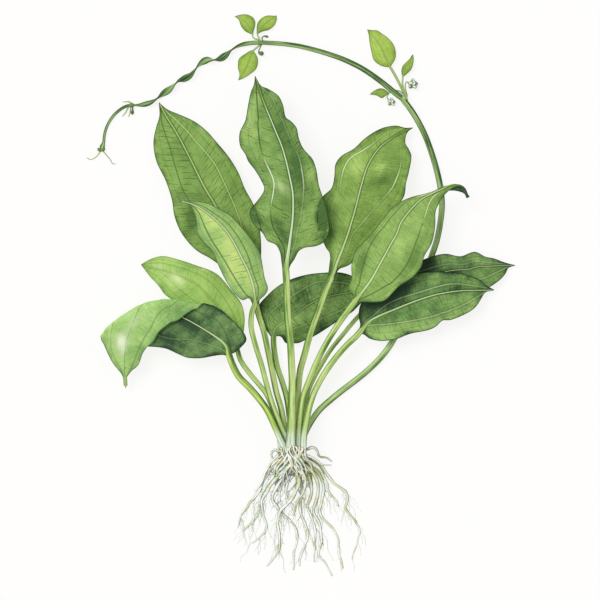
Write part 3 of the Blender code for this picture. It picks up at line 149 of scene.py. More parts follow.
# The leaves, those of the rosette first. A petiole runs from the crown to the blade's foot as x, y and
# height; foot and top are its half width and half depth at either end. Left margin, midrib and right
# margin run on to the tip. Heights are the midrib's, at even steps; the drops say how much higher or
# lower the margins lie, the right one like the left where it isn't given. A crease is the line about
# which a blade rolls over, with its bulge and radius by the distance from its start.
LEAVES = {
    "leaf_centre": {
        "petiole": ((290.4, 445, 22.6), (291.2, 430, 23.4), (291.8, 405, 26), (292.3, 380, 28.8),
            (291.5, 360, 30.8), (290.5, 342, 32.4), (288.6, 325, 34), (287.3, 305, 36), (286.7, 283, 37.6),
            (286, 269, 38.3)),
        "foot": (5.2, 2.3), "top": (3.5, 2.4),
        "left": ((281.6, 262), (280.2, 252.5), (276, 245), (267.8, 241.2), (263, 233.5), (256.5, 227.5),
            (251, 220), (250.3, 211), (258, 201), (264.6, 190), (261, 180.5), (255, 170.5), (248.5, 162),
            (245.8, 155.5), (240.6, 147), (240, 134), (245.5, 122), (247.9, 109), (251, 93.5),
            (254.2, 85.5)),
        "rib": ((290.2, 240), (292.7, 220), (293.3, 206), (292.7, 193), (290.1, 179), (286.3, 162.3),
            (281.8, 147), (276, 132.8), (270.3, 118.7), (264.5, 104.6), (260, 91.2)),
        "right": ((290.2, 266), (294.4, 259.5), (299, 251), (305, 247.7), (317, 246), (325.5, 240.8),
            (329, 230), (326.8, 211), (322.3, 197), (318.7, 186), (316.4, 172), (312.6, 160.6), (303, 149),
            (299, 140), (296.5, 129), (291, 122.3), (286, 118.5), (283, 106), (278.5, 97), (268, 89.7),
            (261, 86.8)),
        "tip": (255.3, 76.8), "heights": (38.6, 43, 44, 40, 33, 24), "left_drop": (0, -3, -1.5, -4, -2, 0),
        "right_drop": (0, -4.5, -2.5, -3, -2, 0),
    },
    "leaf_upper_right": {
        "petiole": ((294.8, 445, 11.6), (295.8, 430, 12), (297, 405, 13.8), (298.1, 390, 15),
            (300.3, 370, 16), (303, 360, 16.8), (305.8, 350, 17.5), (311.3, 330, 19), (318.5, 310, 21),
            (325.6, 290, 22.8), (331, 278, 24)),
        "foot": (3.3, 2.2), "top": (3.2, 2.1),
        "left": ((328.6, 271.5), (329.3, 265), (330.2, 258.5), (329.3, 252.5), (326, 248), (321.5, 238),
            (316.8, 226), (317, 210), (322, 197.8), (331.5, 188.5), (334.3, 177), (335.3, 165),
            (341, 156.8), (353.8, 149.2), (365, 138.6), (381.3, 128.8), (396.3, 126), (405, 128.2)),
        "rib": ((334.6, 270), (336.6, 264), (342.5, 248.8), (347.5, 235), (351.3, 222.5), (355, 210),
            (358.1, 197.5), (361.3, 185), (367.5, 166.3), (378.8, 148.8), (395, 136.3), (404, 131.3)),
        "right": ((337.8, 270.5), (340.2, 268.4), (345, 266.8), (350.6, 263.8), (357, 255), (369, 243),
            (382, 229), (392, 216), (399, 204.5), (404.2, 195), (405.5, 184), (408.5, 172.5), (411, 156),
            (408.3, 149.5), (405, 143.5), (407, 133)),
        "tip": (413, 127.8), "heights": (24, 28, 28, 25, 18, 8), "left_drop": (0, -3, -3.5, -2, -1, 0),
        "right_drop": (0, -3.5, -4, -3, -1.5, 0),
    },
    "leaf_right_mid": {
        "petiole": ((298.4, 445, 16.6), (299, 431, 17.2), (300.9, 411, 19), (303.7, 395, 20.8),
            (309.2, 380, 23), (317.7, 360, 26), (328.1, 340, 29), (341, 320, 32), (355.2, 300.8, 35)),
        "foot": (3.3, 2.2), "top": (3.0, 2.2),
        "left": ((353.3, 296.6), (347.2, 288.6), (351, 280), (351.4, 264), (355, 251), (367.5, 238.1),
            (379.4, 223.8), (389, 211.3), (397.5, 203.8), (410, 198.1), (424, 194.6), (432.5, 191.9),
            (440, 187.8), (446, 181.5), (454, 177.3), (462, 177.8), (467, 185)),
        "rib": ((363.6, 290), (370.8, 280), (377, 269), (390, 245), (396.3, 233.8), (400, 223.8),
            (405, 216.3), (412.5, 207.5), (420, 200.3), (430, 194.8), (441, 189.6), (452, 184.5),
            (461, 183.5), (466, 188.5)),
        "right": ((363, 302), (373.8, 302.3), (384, 300.6), (392.5, 292.5), (398, 286.8), (412.5, 276.9),
            (420.5, 267), (423.5, 256.5), (431, 243), (434.4, 226), (434.8, 212), (438.8, 202.5),
            (442, 197.5), (446.5, 192.5), (453, 188), (460, 187), (465.3, 190)),
        "tip": (469, 196), "heights": (35, 39, 40, 38, 33, 26), "left_drop": (0, -3, -2.5, -2, -1, 0),
        "right_drop": (0, -3, -3.5, -2, -1, 0),
        "crease": {
            "start": (436, 191), "end": (468, 196),
            "bulge": ((-6, 4), (0, 2.4), (3.6, 3.6), (10.6, 6.6), (16.7, 8.7), (21.6, 9.1), (25.5, 8.1),
                (28.5, 5.6), (31.1, 1.4), (34, -2)),
            "radius": ((0, 1.7), (34, 1.7)), "sense": -1.0, "turn": 2.9,
        },
    },
    "leaf_mid_left": {
        "petiole": ((288.6, 445, 14.6), (286, 437, 15), (281.3, 427, 16), (277, 416, 17),
            (271.6, 401, 18.6), (266.8, 384, 20), (261.6, 364, 22), (255.7, 345, 23.5), (251.4, 326, 25),
            (252.4, 312, 26), (255.4, 304, 26.6)),
        "foot": (3.3, 2.2), "top": (2.6, 2.0),
        "left": ((251, 299.6), (247.5, 298), (243.2, 300.2), (236, 294.5), (227, 282), (218.4, 264.6),
            (213, 252), (204, 242.4), (197.5, 233), (197, 222), (193.5, 210.7), (188, 203.8)),
        "rib": ((254.7, 294.2), (252.7, 283.4), (248.6, 271.3), (243.2, 260.5), (237.9, 249.8),
            (228.4, 233.6), (217, 221), (203, 210), (190.8, 204)),
        "right": ((259, 300.8), (265.5, 294.5), (268, 288.5), (264.8, 278), (262.5, 265), (260, 253),
            (252.7, 241), (242, 227.6), (230, 215), (219, 209), (207, 203.3), (194, 201.3)),
        "tip": (180.6, 201.2), "heights": (26.6, 30, 31, 30, 27, 24),
        "left_drop": (0, -2, -3.5, -2.5, -1, 0), "right_drop": (0, -2, -3, -2, -1, 0),
    },
    "leaf_upper_left": {
        "petiole": ((285.8, 445, 9.6), (284.8, 432, 9.6), (283.2, 419, 10), (280.8, 407, 10.4),
            (276.2, 391, 11.5), (272.3, 371, 12.5), (268.1, 350.5, 13), (263.6, 330, 13.4),
            (258.5, 314, 13.6), (256.7, 306, 13.8)),
        "foot": (3.2, 2.2), "top": (2.9, 2.1),
        "left": ((246, 292), (228, 272), (212, 259.5), (196, 249.8), (182, 233.5), (175, 217),
            (172.2, 200), (166, 181), (156.5, 161), (153.7, 142), (156.5, 127), (159.6, 116)),
        "rib": ((254, 290), (248, 272), (238, 248), (226, 225), (215, 204.7), (204.2, 186.5),
            (192.1, 162.3), (177.3, 134), (167, 117.5)),
        "right": ((259.5, 292), (260.3, 270), (261.2, 246), (259.5, 228), (253.7, 205.4), (245, 189),
            (238, 172), (228, 156), (216.3, 142), (207, 131.5), (195, 122), (180, 114.9), (167, 109.3)),
        "tip": (158.9, 102.4), "heights": (13.8, 15.5, 16, 14.5, 9.5, 1.4),
        "left_drop": (0, -3, -3.5, -3, -1.5, 0), "right_drop": (0, -2.5, -3.5, -3, -1.5, 0),
    },
    "leaf_right_low": {
        "petiole": ((303.6, 445, 19.8), (304, 437, 20), (306.4, 421.5, 20.4), (309.9, 405, 20.6),
            (315.2, 390, 20.4), (323.4, 375, 20), (333.7, 360, 19.4), (346.8, 345, 19), (355.8, 336.5, 19),
            (361.4, 330, 19)),
        "foot": (3.2, 2.2), "top": (3.0, 2.0),
        "left": ((360, 325), (358.4, 314), (361.5, 302), (377, 286.5), (398, 277.3), (420, 272.8),
            (445.4, 272), (463.3, 274.2), (479, 279.8), (487, 286)),
        "rib": ((370.2, 320.6), (380.3, 315.2), (392.6, 310.1), (406.1, 304.5), (419.6, 299.5),
            (434.1, 295), (448.7, 292.2), (462.2, 290.7), (478, 290.4)),
        "right": ((357.5, 333.4), (363, 334), (369.1, 338.2), (379.2, 340.6), (394.9, 339.1),
            (409.5, 333.7), (428.5, 329.7), (435.6, 326.2), (442, 320.4), (449.8, 319.9), (467.8, 312.4),
            (475, 307), (480.5, 299), (485, 292.2)),
        "tip": (494.2, 290), "heights": (19, 21.5, 23, 22, 17, 8), "left_drop": (0, -1, -1.5, -1.5, -1, 0),
        "right_drop": (0, -4, -5, -4, -2, 0),
    },
    "leaf_right_back": {
        "petiole": ((301.8, 445, 12.6), (302.6, 430, 12.6), (304.6, 407, 12.6), (309.6, 388, 12.6),
            (315.6, 375, 12.3), (321.3, 365, 12), (330.6, 350, 11.8), (342.6, 335, 11.8), (356.8, 318, 12),
            (366, 309, 12.2), (373, 303, 12.4)),
        "foot": (3.2, 2.1), "top": (2.2, 1.9),
        "left": ((373.5, 294), (382, 281), (395, 270), (408, 263.5), (421.8, 260.2), (431, 256.8),
            (445.4, 254), (459.9, 256.5), (474.5, 252), (485, 256.8), (493.6, 258.5), (503, 262)),
        "rib": ((395, 288), (420, 279), (438, 273.5), (454.3, 270.3), (467.8, 269.4), (476.8, 267),
            (491.4, 266.2), (503, 265.5)),
        "right": ((380, 307), (396, 309), (420, 306), (445, 301), (466, 296), (481, 291), (490.2, 286.6),
            (500.3, 279.3), (506, 273.5), (509, 268)),
        "tip": (516.8, 265.5), "heights": (12.4, 14.2, 14.5, 13.5, 9.5, 2.4),
        "left_drop": (0, -2.5, -3, -2.5, -1.5, 0),
    },
    "leaf_low_centre": {
        "petiole": ((292.1, 445, 7), (290.4, 425, 7), (286.6, 397, 7.2), (282, 381, 7.6),
            (277.2, 366.5, 7.8), (274.6, 352, 8), (273.7, 343, 8), (273.6, 336.5, 8)),
        "foot": (3.1, 2.1), "top": (2.8, 1.9),
        "left": ((266, 329.5), (260.5, 320), (257.6, 312), (259.5, 304.5), (267, 296), (277, 287),
            (288, 280.6), (304.2, 275.3), (323.3, 272.8), (342, 272.8), (355, 277.5), (364, 285)),
        "rib": ((274.6, 330), (279.2, 325), (291.7, 317.1), (308.3, 305), (322, 298.5), (340, 294),
            (356, 292.3)),
        "right": ((279.5, 336), (282.8, 338), (285.8, 343), (291, 343), (298.3, 343), (306, 339.6),
            (315, 335.6), (329.2, 326.7), (341.7, 318.3), (352, 312), (361.5, 302.5)),
        "tip": (370, 293), "heights": (8, 8.4, 8.6, 8.2, 6.6, 4), "left_drop": (0, -1.8, -2.2, -2, -1, 0),
    },
    "leaf_left_up": {
        "petiole": ((280.8, 445, 13), (279.6, 434, 12), (276.8, 422, 11.2), (272.6, 408, 11.2),
            (266.5, 394, 11.4), (258, 383, 11.6), (249.3, 372.5, 11.8), (240.8, 360, 12),
            (237.4, 349, 12.2)),
        "foot": (3.1, 2.1), "top": (2.5, 1.9),
        "left": ((232, 344), (221, 336), (207, 326), (192, 314), (179, 304), (170.2, 298.3), (164.7, 294),
            (160.4, 288), (156, 282.6), (150.6, 277.1), (146.8, 272.2)),
        "rib": ((230, 325), (216, 304), (209.4, 297.3), (200.7, 287.5), (185.5, 278.5), (171.3, 273),
            (156, 268.5)),
        "right": ((242, 340), (244.2, 328), (244.5, 316), (241, 302.8), (230.1, 288.6), (218.1, 275),
            (209.4, 270.1), (197.4, 265.9), (180, 260.1), (162.6, 256.2), (150.6, 259.2)),
        "tip": (141, 264.6), "heights": (12.2, 13.6, 14, 12.5, 8.5, 2),
        "left_drop": (0, -2, -2.5, -2.5, -1.5, 0), "right_drop": (0, -2.5, -3, -2.5, -1.5, 0),
    },
    "leaf_left_fold": {
        "petiole": ((283.8, 445, 19), (281.4, 440, 19.2), (275.6, 427, 19.8), (267, 409, 20.4),
            (260.2, 399.5, 20.8), (249.5, 387, 21.4), (239, 376, 22), (232.8, 364, 22.6),
            (229.4, 354.5, 23)),
        "foot": (3.3, 2.2), "top": (3.3, 2.1),
        "left": ((224, 354.8), (214, 355.6), (201.8, 357.8), (188, 357.4), (177.8, 353.4), (166, 348.3),
            (149.5, 346.4), (139, 346.6), (125, 344.5), (110, 340.5), (100.6, 333.5), (99, 323),
            (97.2, 310), (95.6, 293.6), (95.7, 280.8), (95.7, 271.8), (94.7, 266)),
        "rib": ((226.9, 346.3), (220.3, 339.8), (204, 328.9), (188.7, 320.2), (169, 310.5), (150, 301),
            (134, 294.5), (120, 290), (112, 285.5), (104.5, 278.5), (98, 268.5)),
        "right": ((235.5, 352), (241.5, 346.8), (246.6, 339.8), (244, 332.5), (232.5, 320), (222.5, 310.6),
            (213.5, 305.6), (205, 303), (194.5, 297.5), (182.8, 287.1), (171.7, 276.5), (162.1, 270.2),
            (143.4, 263.4), (131.6, 258), (119.3, 258.7), (110.5, 255.6), (101.6, 261.2), (97, 262.6)),
        "tip": (92.2, 256.8), "heights": (23, 24.5, 24, 22.5, 20, 15),
        "left_drop": (0, -2.5, -2.5, -2, -1, 0), "right_drop": (0, -2, -1.5, -1, -1, 0),
        "crease": {
            "start": (101, 336), "end": (217, 306),
            "bulge": ((-15, -13), (0, -0.4), (5.7, 5), (12, 8.8), (23.6, 13.8), (42.8, 20), (56.4, 21.2),
                (71.5, 20), (85.6, 15), (94.7, 10), (100.5, 6.8), (108.8, 5.6), (116.2, 2.5)),
            "radius": ((0, 1.8), (10, 3.2), (30, 5.2), (60, 6.6), (80, 5.4), (94, 3.2), (101, 1.4),
                (122, 1.2)),
            "sense": 1.0, "turn": math.pi + 0.2,
        },
    },
    "whorl1_leaf_big": {
        "petiole": ((404.9, 95.4, 4.2), (401.7, 88.5, 3.8), (398.1, 81.2, 3.5), (393.3, 72.5, 4),
            (389.9, 66.8, 4.6)),
        "foot": (1.3, 1.1), "top": (1.3, 1.0),
        "left": ((386.3, 67.2), (381.7, 66.2), (376.9, 63.4), (373.6, 60), (371.2, 51.3), (369.4, 41.7),
            (368.7, 35)),
        "rib": ((386.5, 60), (382, 50), (376, 40), (370.5, 33)),
        "right": ((391.5, 65.2), (395, 59.5), (395.7, 53), (393.8, 45.6), (388.5, 38.8), (381.7, 33.6),
            (376.9, 30.5), (371.5, 30.3)),
        "tip": (367.2, 29.5), "heights": (4.6, 6.4, 7, 6, 4, 1.2),
        "left_drop": (0, -1.5, -2, -1.5, -0.5, 0),
    },
    "whorl1_leaf_right": {
        "petiole": ((406.1, 96.9, 6.6), (404.2, 91, 7.2), (402.4, 84, 6.4), (402.8, 76.6, 5)),
        "foot": (0.9, 0.9), "top": (0.9, 0.8),
        "left": ((401.4, 70.6), (402.9, 65.8), (406.7, 61.9), (409.6, 59), (411.3, 56)),
        "rib": ((404.5, 69), (409, 63), (412, 58.5)),
        "right": ((406.7, 74.2), (411.1, 69.6), (412.9, 64.8), (413.6, 59)), "tip": (413, 54.4),
        "heights": (5, 5.4, 5.2, 4.6, 3.4, 1.6), "left_drop": (0, -0.6, -0.8, -0.6, -0.3, 0),
    },
    "whorl1_leaf_left": {
        "petiole": ((402.4, 93.4, 1.5), (399.6, 91.2, 1.0), (396, 90.6, 0.9), (392, 91.4, 0.9),
            (388.3, 92.8, 1.2)),
        "foot": (0.55, 0.5), "top": (0.7, 0.6), "left": ((385.6, 96), (381.7, 98.2), (376.9, 95.7)),
        "rib": ((384, 93), (378, 93.4)), "right": ((384.6, 89.4), (379.8, 88.5), (374, 90.9)),
        "tip": (369.6, 94.4), "heights": (1.2, 2.2, 2.6, 2.4, 1.8, 1.0),
        "left_drop": (0, -0.5, -0.7, -0.5, -0.2, 0),
    },
    "whorl2_leaf_left": {
        "petiole": ((257.0, 39.4, 5), (254.8, 38.9, 4.6), (252.9, 36.8, 4), (252.6, 34.4, 3.6)),
        "foot": (0.7, 0.7), "top": (0.8, 0.7),
        "left": ((249.5, 33.5), (245.7, 31.7), (243, 29), (240.8, 25.7), (239.4, 21.3), (237.6, 18.4)),
        "rib": ((250.5, 29.5), (246.5, 23.5), (241, 18.5)),
        "right": ((253.4, 32), (254.9, 27), (255.3, 22.5), (253.9, 18.6), (251.1, 16.2), (247, 14.5),
            (242, 14.5), (238, 15.3)),
        "tip": (234.6, 16.5), "heights": (3.6, 4.6, 4.8, 4.2, 3, 1.2),
        "left_drop": (0, -1, -1.3, -1, -0.4, 0),
    },
    "whorl2_leaf_right": {
        "petiole": ((259.7, 39.5, 5), (258.9, 37.8, 4.6), (257.8, 35.8, 4), (257.5, 34.2, 3.8)),
        "foot": (0.8, 0.7), "top": (0.8, 0.7),
        "left": ((256.8, 31), (257.2, 25), (258.8, 21.3), (262, 18.1), (266.4, 15.9), (270.8, 15.7),
            (274, 16)),
        "rib": ((260.5, 28.5), (265.5, 23.5), (271.5, 19)),
        "right": ((260.4, 32.5), (264.2, 31.1), (268, 30.3), (271.3, 28.5), (274.3, 25.7), (276.2, 21.9),
            (276.9, 18.5)),
        "tip": (276.6, 15.6), "heights": (3.8, 4.6, 4.8, 4.2, 3, 1.4),
        "left_drop": (0, -1, -1.3, -1, -0.4, 0),
    },
    "whorl2_leaf_low": {
        "petiole": ((258.9, 45.9, 3.4), (257.2, 47.4, 3.1), (255, 49.1, 2.8), (253.1, 50.8, 2.8)),
        "foot": (0.9, 0.8), "top": (0.9, 0.7),
        "left": ((256, 54.6), (257.8, 58.6), (258, 62), (257.4, 66), (255.5, 69.8), (252.2, 72.8),
            (247.9, 75.8), (243, 78.6)),
        "rib": ((250.5, 57), (247.5, 65), (243, 74)),
        "right": ((248.8, 51.7), (245.2, 54), (240.8, 57), (238.6, 60), (238, 64), (238.1, 68.7),
            (239.3, 72.5), (239.5, 76.5)),
        "tip": (238.1, 80.4), "heights": (2.8, 4, 4.4, 3.8, 2.6, 1.0),
        "left_drop": (0, -1, -1.4, -1, -0.4, 0),
    },
}

# How each rosette leaf looks. slot: a slot name, handed on with the finished piece.
# tones, under_tones: dark, middle and light of its upper side and its underside. stem: of its petiole.
# vein: the colour of its midrib, partly a painted highlight. gleam: the colour of its gleams, which
# are painted highlights laid as patches like the washes.
# rib: half width of the midrib at the blade's foot, middle and tip. rib_lift: how far it stands up.
# rib_fade: from where to where along the blade it turns from pale to leaf green.
# tail: length and half width of a stem-like tip. left_vein, right_vein: the inner side veins.
# lean: how much lighter one flank of the petiole is painted, as painted light and shade. side: how pale
# (a painted highlight) or dark the left and right side veins are. glow: painted highlights on them, where
# they are paler: x, y, radius and amount. bands: how light the blade is painted, as painted light and
# shade, from its left margin to the midrib, and on to its right margin. washes: soft patches of painted
# light and shade, among them painted shadows cast by other leaves: x, y, radius along, radius across, turn
# in degrees, how much lighter. crossing, hatching: strength of the cross veins and of the broken strokes
# between them. slant: how they lean. lines, mottle: strength of all lines and of the blotches. rim,
# rib_shade: of the dark margin and of the painted shade beside the midrib. folds: lines as dark as the
# margin. ruffle: height of the margin's waves and how many there are.
LEAF_LOOKS = {
    "leaf_centre": {
        "slot": "leaf_mid", "tones": ((0.075, 0.155, 0.04), (0.194, 0.336, 0.084), (0.40, 0.57, 0.17)),
        "lean": -0.3, "hatching": 1.1, "vein": (0.62, 0.76, 0.50), "rib": (2.6, 1.05, 0.4), "slant": 0.65,
        "rib_fade": (0.80, 0.93), "side": (-0.8, 0.12),
        "glow": ((266, 171, 15, 1.6), (272, 192, 15, 2.1), (302, 178, 13, 0.5)),
        "left_vein": ((258, 125), (260.6, 147), (264, 158.5), (269.6, 171), (273.5, 180), (273.8, 190.5),
            (271.5, 205), (271, 215), (273.5, 228), (280, 239)),
        "right_vein": ((271.5, 97), (280, 116), (291, 142), (299, 158.5), (302, 173), (303.6, 185),
            (303, 198), (301, 215), (296.5, 233)),
        "bands": (0.2, 0.15, 0.05, -0.1, -0.45, -0.15, 0.15, 0.1),
        "gleams": ((281, 187, 9, 4.5, -45, 0.6), (249, 122, 12, 5, 80, 0.12)),
        "washes": ((250, 122, 16, 7, 80, 0.35), (310, 180, 12, 6, 60, 0.3), (296, 165, 36, 6, -70, -0.45),
            (285, 125, 20, 5, -65, -0.4), (254, 219, 13, 5, -63, -1.2), (282, 232, 15, 5, -68, -0.9),
            (323, 220, 20, 5, 92, -1.2), (305, 222, 16, 9, 80, 0.1), (299, 158, 20, 6, 65, -0.2)),
        "crossing": 0.3,
        "folds": (((321.5, 199), (318.2, 208), (317.6, 220), (319.5, 232), (323.5, 240)), ((252.5, 207),
            (257, 215), (260, 224), (261.5, 231))),
        "ruffle": (1.6, 6.0),
    },
    "leaf_upper_right": {
        "slot": "leaf_olive", "tones": ((0.085, 0.17, 0.035), (0.221, 0.366, 0.08), (0.42, 0.60, 0.16)),
        "lean": -0.4, "hatching": 0.6, "vein": (0.55, 0.68, 0.33), "rib": (2.1, 0.95, 0.35),
        "side": (0.1, 0.1), "rib_fade": (0.78, 0.92),
        "glow": ((355, 156, 16, 1.3), (343, 170, 9, 0.6), (396, 183, 15, 0.9), (365, 222, 14, 0.2)),
        "left_vein": ((385, 134), (367.5, 148), (349, 160), (342, 175), (339, 194), (334, 202), (332, 224),
            (339, 246)),
        "right_vein": ((400, 134), (400, 147), (400.6, 164), (393, 186), (384, 197.5), (371, 212.5),
            (351, 236)),
        "bands": (0, -0.1, 0.15, 0.15, 0, -0.05, 0.05, 0.1),
        "washes": ((357, 166, 12, 9, 60, 0.25), (380, 167, 9, 6, 20, 0.6), (345, 215, 22, 9, 75, -0.3),
            (386, 180, 13, 5, 20, -0.4), (390, 160, 8, 6, 0, -0.3), (330, 240, 16, 6, 80, -0.5),
            (327, 215, 22, 6, 88, -0.45), (348, 258, 12, 8, 60, 0.1)),
        "crossing": 0.25, "ruffle": (1.2, 4.5),
    },
    "leaf_right_mid": {
        "slot": "leaf_light", "tones": ((0.13, 0.24, 0.06), (0.255, 0.415, 0.105), (0.43, 0.61, 0.19)),
        "lean": 0.35, "hatching": 0.55,
        "under_tones": ((0.03, 0.07, 0.035), (0.10, 0.19, 0.085), (0.2, 0.32, 0.16)),
        "vein": (0.60, 0.74, 0.36), "rib": (2.0, 0.9, 0.35), "side": (-0.6, -0.7), "slant": 0.25,
        "rib_fade": (0.80, 0.92), "glow": ((430, 205, 15, 2.6),),
        "left_vein": ((358, 287), (363, 265.5), (371.5, 242.4), (384.8, 225.5), (394.5, 213.3),
            (407.9, 200)),
        "right_vein": ((371, 294), (385, 286), (392, 282), (405.5, 265.5), (412.7, 249.7), (418.8, 232.7),
            (424.8, 214.5), (429.7, 201.2), (435.8, 194)),
        "bands": (0.15, -0.15, -0.2, 0.05, 0.1, 0, 0.05, 0.1),
        "washes": ((405, 240, 16, 9, 60, 0.35), (380, 245, 22, 7, 55, 0.15), (362, 262, 18, 5, 75, -0.7),
            (412, 262, 22, 5, 60, -0.4), (410, 262, 18, 5, 60, -0.3), (398, 285, 10, 5, 30, 0.2)),
        "crossing": 0.4, "ruffle": (0.8, 4.0),
    },
    "leaf_mid_left": {
        "slot": "leaf_light", "tones": ((0.20, 0.35, 0.115), (0.32, 0.51, 0.15), (0.54, 0.69, 0.21)),
        "vein": (0.66, 0.78, 0.46), "lean": -0.1, "hatching": 0.35, "rib": (1.7, 0.8, 0.35),
        "side": (-0.85, -0.75),
        "left_vein": ((198.7, 211.7), (210, 236.6), (222, 255.7), (236.8, 280.6), (245.6, 294)),
        "right_vein": ((212, 212), (228, 224), (240, 240), (248, 256), (254, 275)),
        "bands": (-0.2, -0.1, 0.25, 0.65, 0.05, -0.1, -0.2, -0.1),
        "washes": ((236, 262, 30, 7, 62, 0.3), (215, 225, 10, 6, 40, 0.35), (208, 240, 14, 4, 60, -0.3)),
        "crossing": 0.75, "ruffle": (0.7, 4.0),
    },
    "leaf_upper_left": {
        "slot": "leaf_mid", "tones": ((0.10, 0.19, 0.045), (0.22, 0.37, 0.088), (0.35, 0.52, 0.14)),
        "vein": (0.44, 0.60, 0.21), "lean": -0.2, "hatching": 0.7, "rib": (1.9, 1.15, 0.5),
        "side": (-0.6, 0.65),
        "left_vein": ((161, 119), (165, 133), (170.6, 149), (175, 165), (180, 181), (183, 191)),
        "right_vein": ((174, 118), (187, 131), (197.5, 143.5), (207, 154), (216, 166), (224, 182.5),
            (232.5, 201), (238, 215)),
        "bands": (0.05, 0, -0.05, -0.1, 0.05, 0.05, 0.05, 0.1),
        "washes": ((191, 222, 22, 8, 75, -0.9), (184, 190, 14, 7, 60, -0.3), (160, 138, 18, 6, 80, 0.15),
            (240, 205, 26, 8, 60, 0.15), (170, 114, 10, 5, 30, -0.2), (240, 262, 20, 6, 60, -0.1)),
        "crossing": 0.95, "ruffle": (0.8, 3.0),
    },
    "leaf_right_low": {
        "slot": "leaf_dark", "tones": ((0.032, 0.068, 0.032), (0.147, 0.277, 0.077), (0.34, 0.52, 0.155)),
        "vein": (0.52, 0.66, 0.34), "lean": 0.15, "mottle": 1.4, "hatching": 0.7, "rib": (1.7, 1.0, 0.35),
        "side": (0.22, 0.35), "glow": ((430, 290, 24, 0.3),),
        "left_vein": ((370, 318), (389, 303), (420, 292), (451, 284), (479, 286.6)),
        "right_vein": ((370, 325), (390, 323.6), (428.5, 317), (460, 306), (480, 295)),
        "bands": (-0.1, -0.25, -0.35, -0.45, -0.2, 0, 0.4, 0.65),
        "washes": ((372, 303, 18, 10, 30, -0.9), (398, 288, 22, 10, 35, -0.9), (440, 279, 18, 6, 5, 0.1),
            (465, 300, 14, 6, 20, 0.3), (410, 325, 26, 6, 15, 0.25), (368, 330, 8, 6, 30, 0.1)),
        "crossing": 0.12, "ruffle": (0.9, 3.5),
    },
    "leaf_right_back": {
        "slot": "leaf_dark", "tones": ((0.028, 0.058, 0.028), (0.14, 0.26, 0.075), (0.31, 0.47, 0.14)),
        "vein": (0.42, 0.56, 0.28), "lean": 0.1, "mottle": 1.4, "hatching": 0.7, "rib": (1.3, 0.5, 0.3),
        "side": (0.2, 0.35), "right_vein": ((482, 279), (491, 275), (498, 271.4)),
        "bands": (0.15, 0.1, 0.1, 0.1, -0.1, 0, 0.1, 0),
        "washes": ((428, 268, 14, 12, 20, -1.3), (450, 275, 22, 6, 5, -0.6), (440, 257, 16, 4, 0, 0.25),
            (475, 258, 16, 5, 5, 0.3), (492, 280, 12, 5, 40, 0.1)),
        "crossing": 0.35, "ruffle": (1.0, 5.0),
    },
    "leaf_low_centre": {
        "slot": "leaf_dark", "tones": ((0.035, 0.085, 0.025), (0.168, 0.297, 0.083), (0.36, 0.54, 0.16)),
        "lean": -0.25, "mottle": 1.5, "stem": ((0.06, 0.13, 0.03), (0.22, 0.36, 0.085), (0.45, 0.60, 0.20)),
        "hatching": 0.9, "vein": (0.40, 0.54, 0.22), "rib": (1.4, 0.45, 0.3), "side": (0.3, 0.25),
        "left_vein": ((266, 318), (278, 306), (291, 297), (310, 285), (320, 281)),
        "right_vein": ((282, 334), (293, 329), (318, 320), (342, 310)),
        "bands": (0, 0.05, 0.1, 0.15, 0.2, 0.1, 0.05, 0),
        "washes": ((290, 320, 16, 8, 30, 0.45), (300, 295, 16, 8, 30, -0.5), (325, 308, 14, 6, 40, 0.3),
            (262, 312, 10, 6, 70, -0.3), (345, 290, 14, 10, 30, -0.5), (312, 330, 14, 6, 30, -0.2),
            (322, 283, 18, 5, 10, -0.2)),
        "crossing": 0.5, "ruffle": (0.8, 3.0),
    },
    "leaf_left_up": {
        "slot": "leaf_bright", "tones": ((0.21, 0.38, 0.09), (0.345, 0.545, 0.13), (0.50, 0.68, 0.20)),
        "gleam": (0.74, 0.82, 0.44),
        "gleams": ((178, 279, 8, 4, -45, 0.75), (171, 283, 9, 4, -45, 0.2), (160, 268, 8, 4, -30, 0.2)),
        "vein": (0.60, 0.72, 0.36), "rib": (1.5, 0.55, 0.25), "lean": 0.1, "rim": 0.6, "rib_shade": 0.3,
        "rib_fade": (0.30, 0.42), "hatching": 0.5, "side": (-0.3, -0.35),
        "left_vein": ((160, 271), (169, 279), (178, 288), (190, 298)),
        "right_vein": ((162, 263), (188.4, 270.3), (206, 279), (222, 295), (234, 315)),
        "bands": (-0.2, -0.2, 0, 0.05, 0, 0, 0.1, 0.25),
        "washes": ((180, 300, 18, 6, 30, -0.35), (188, 268, 16, 3, 20, -0.35), (233, 300, 14, 8, 60, 0.1),
            (150, 268, 8, 5, 30, -0.1)),
        "crossing": 0.55, "ruffle": (0.6, 3.0),
    },
    "leaf_left_fold": {
        "slot": "leaf_bright", "tones": ((0.035, 0.075, 0.035), (0.13, 0.24, 0.08), (0.27, 0.42, 0.15)),
        "under_tones": ((0.21, 0.39, 0.12), (0.37, 0.59, 0.18), (0.53, 0.73, 0.29)),
        "gleams": ((122, 341, 8, 5, 80, 0.95), (124, 350, 8, 3.5, 75, 0.3), (134, 324, 11, 4, 60, 0.25)),
        "gleam": (0.82, 0.88, 0.62), "lean": 0.5, "mottle": 1.6,
        "stem": ((0.05, 0.13, 0.03), (0.24, 0.40, 0.07), (0.56, 0.71, 0.17)), "hatching": 0.45,
        "vein": (0.55, 0.68, 0.34), "rib": (2.4, 0.5, 0.3), "side": (0.15, -0.4),
        "left_vein": ((224, 350), (212, 345), (187, 339), (173, 339), (140, 328), (106, 312.7),
            (100.8, 305.7), (97.7, 283.4)),
        "right_vein": ((231, 347), (228, 338), (222.5, 327), (215, 318), (196, 311), (165.7, 285.5),
            (152.5, 281.1), (137.1, 271.4), (123.5, 267.4), (111.5, 264.1)),
        "bands": (0, 0, 0, 0.1, 0, 0, 0, 0),
        "washes": ((188, 322, 22, 8, -35, -1.2), (170, 338, 14, 8, -20, -1.3), (212, 336, 16, 5, 35, -0.5),
            (205, 348, 16, 5, 15, 0.25), (195, 340, 16, 5, 20, 0.3), (222, 330, 10, 8, 60, 0.2),
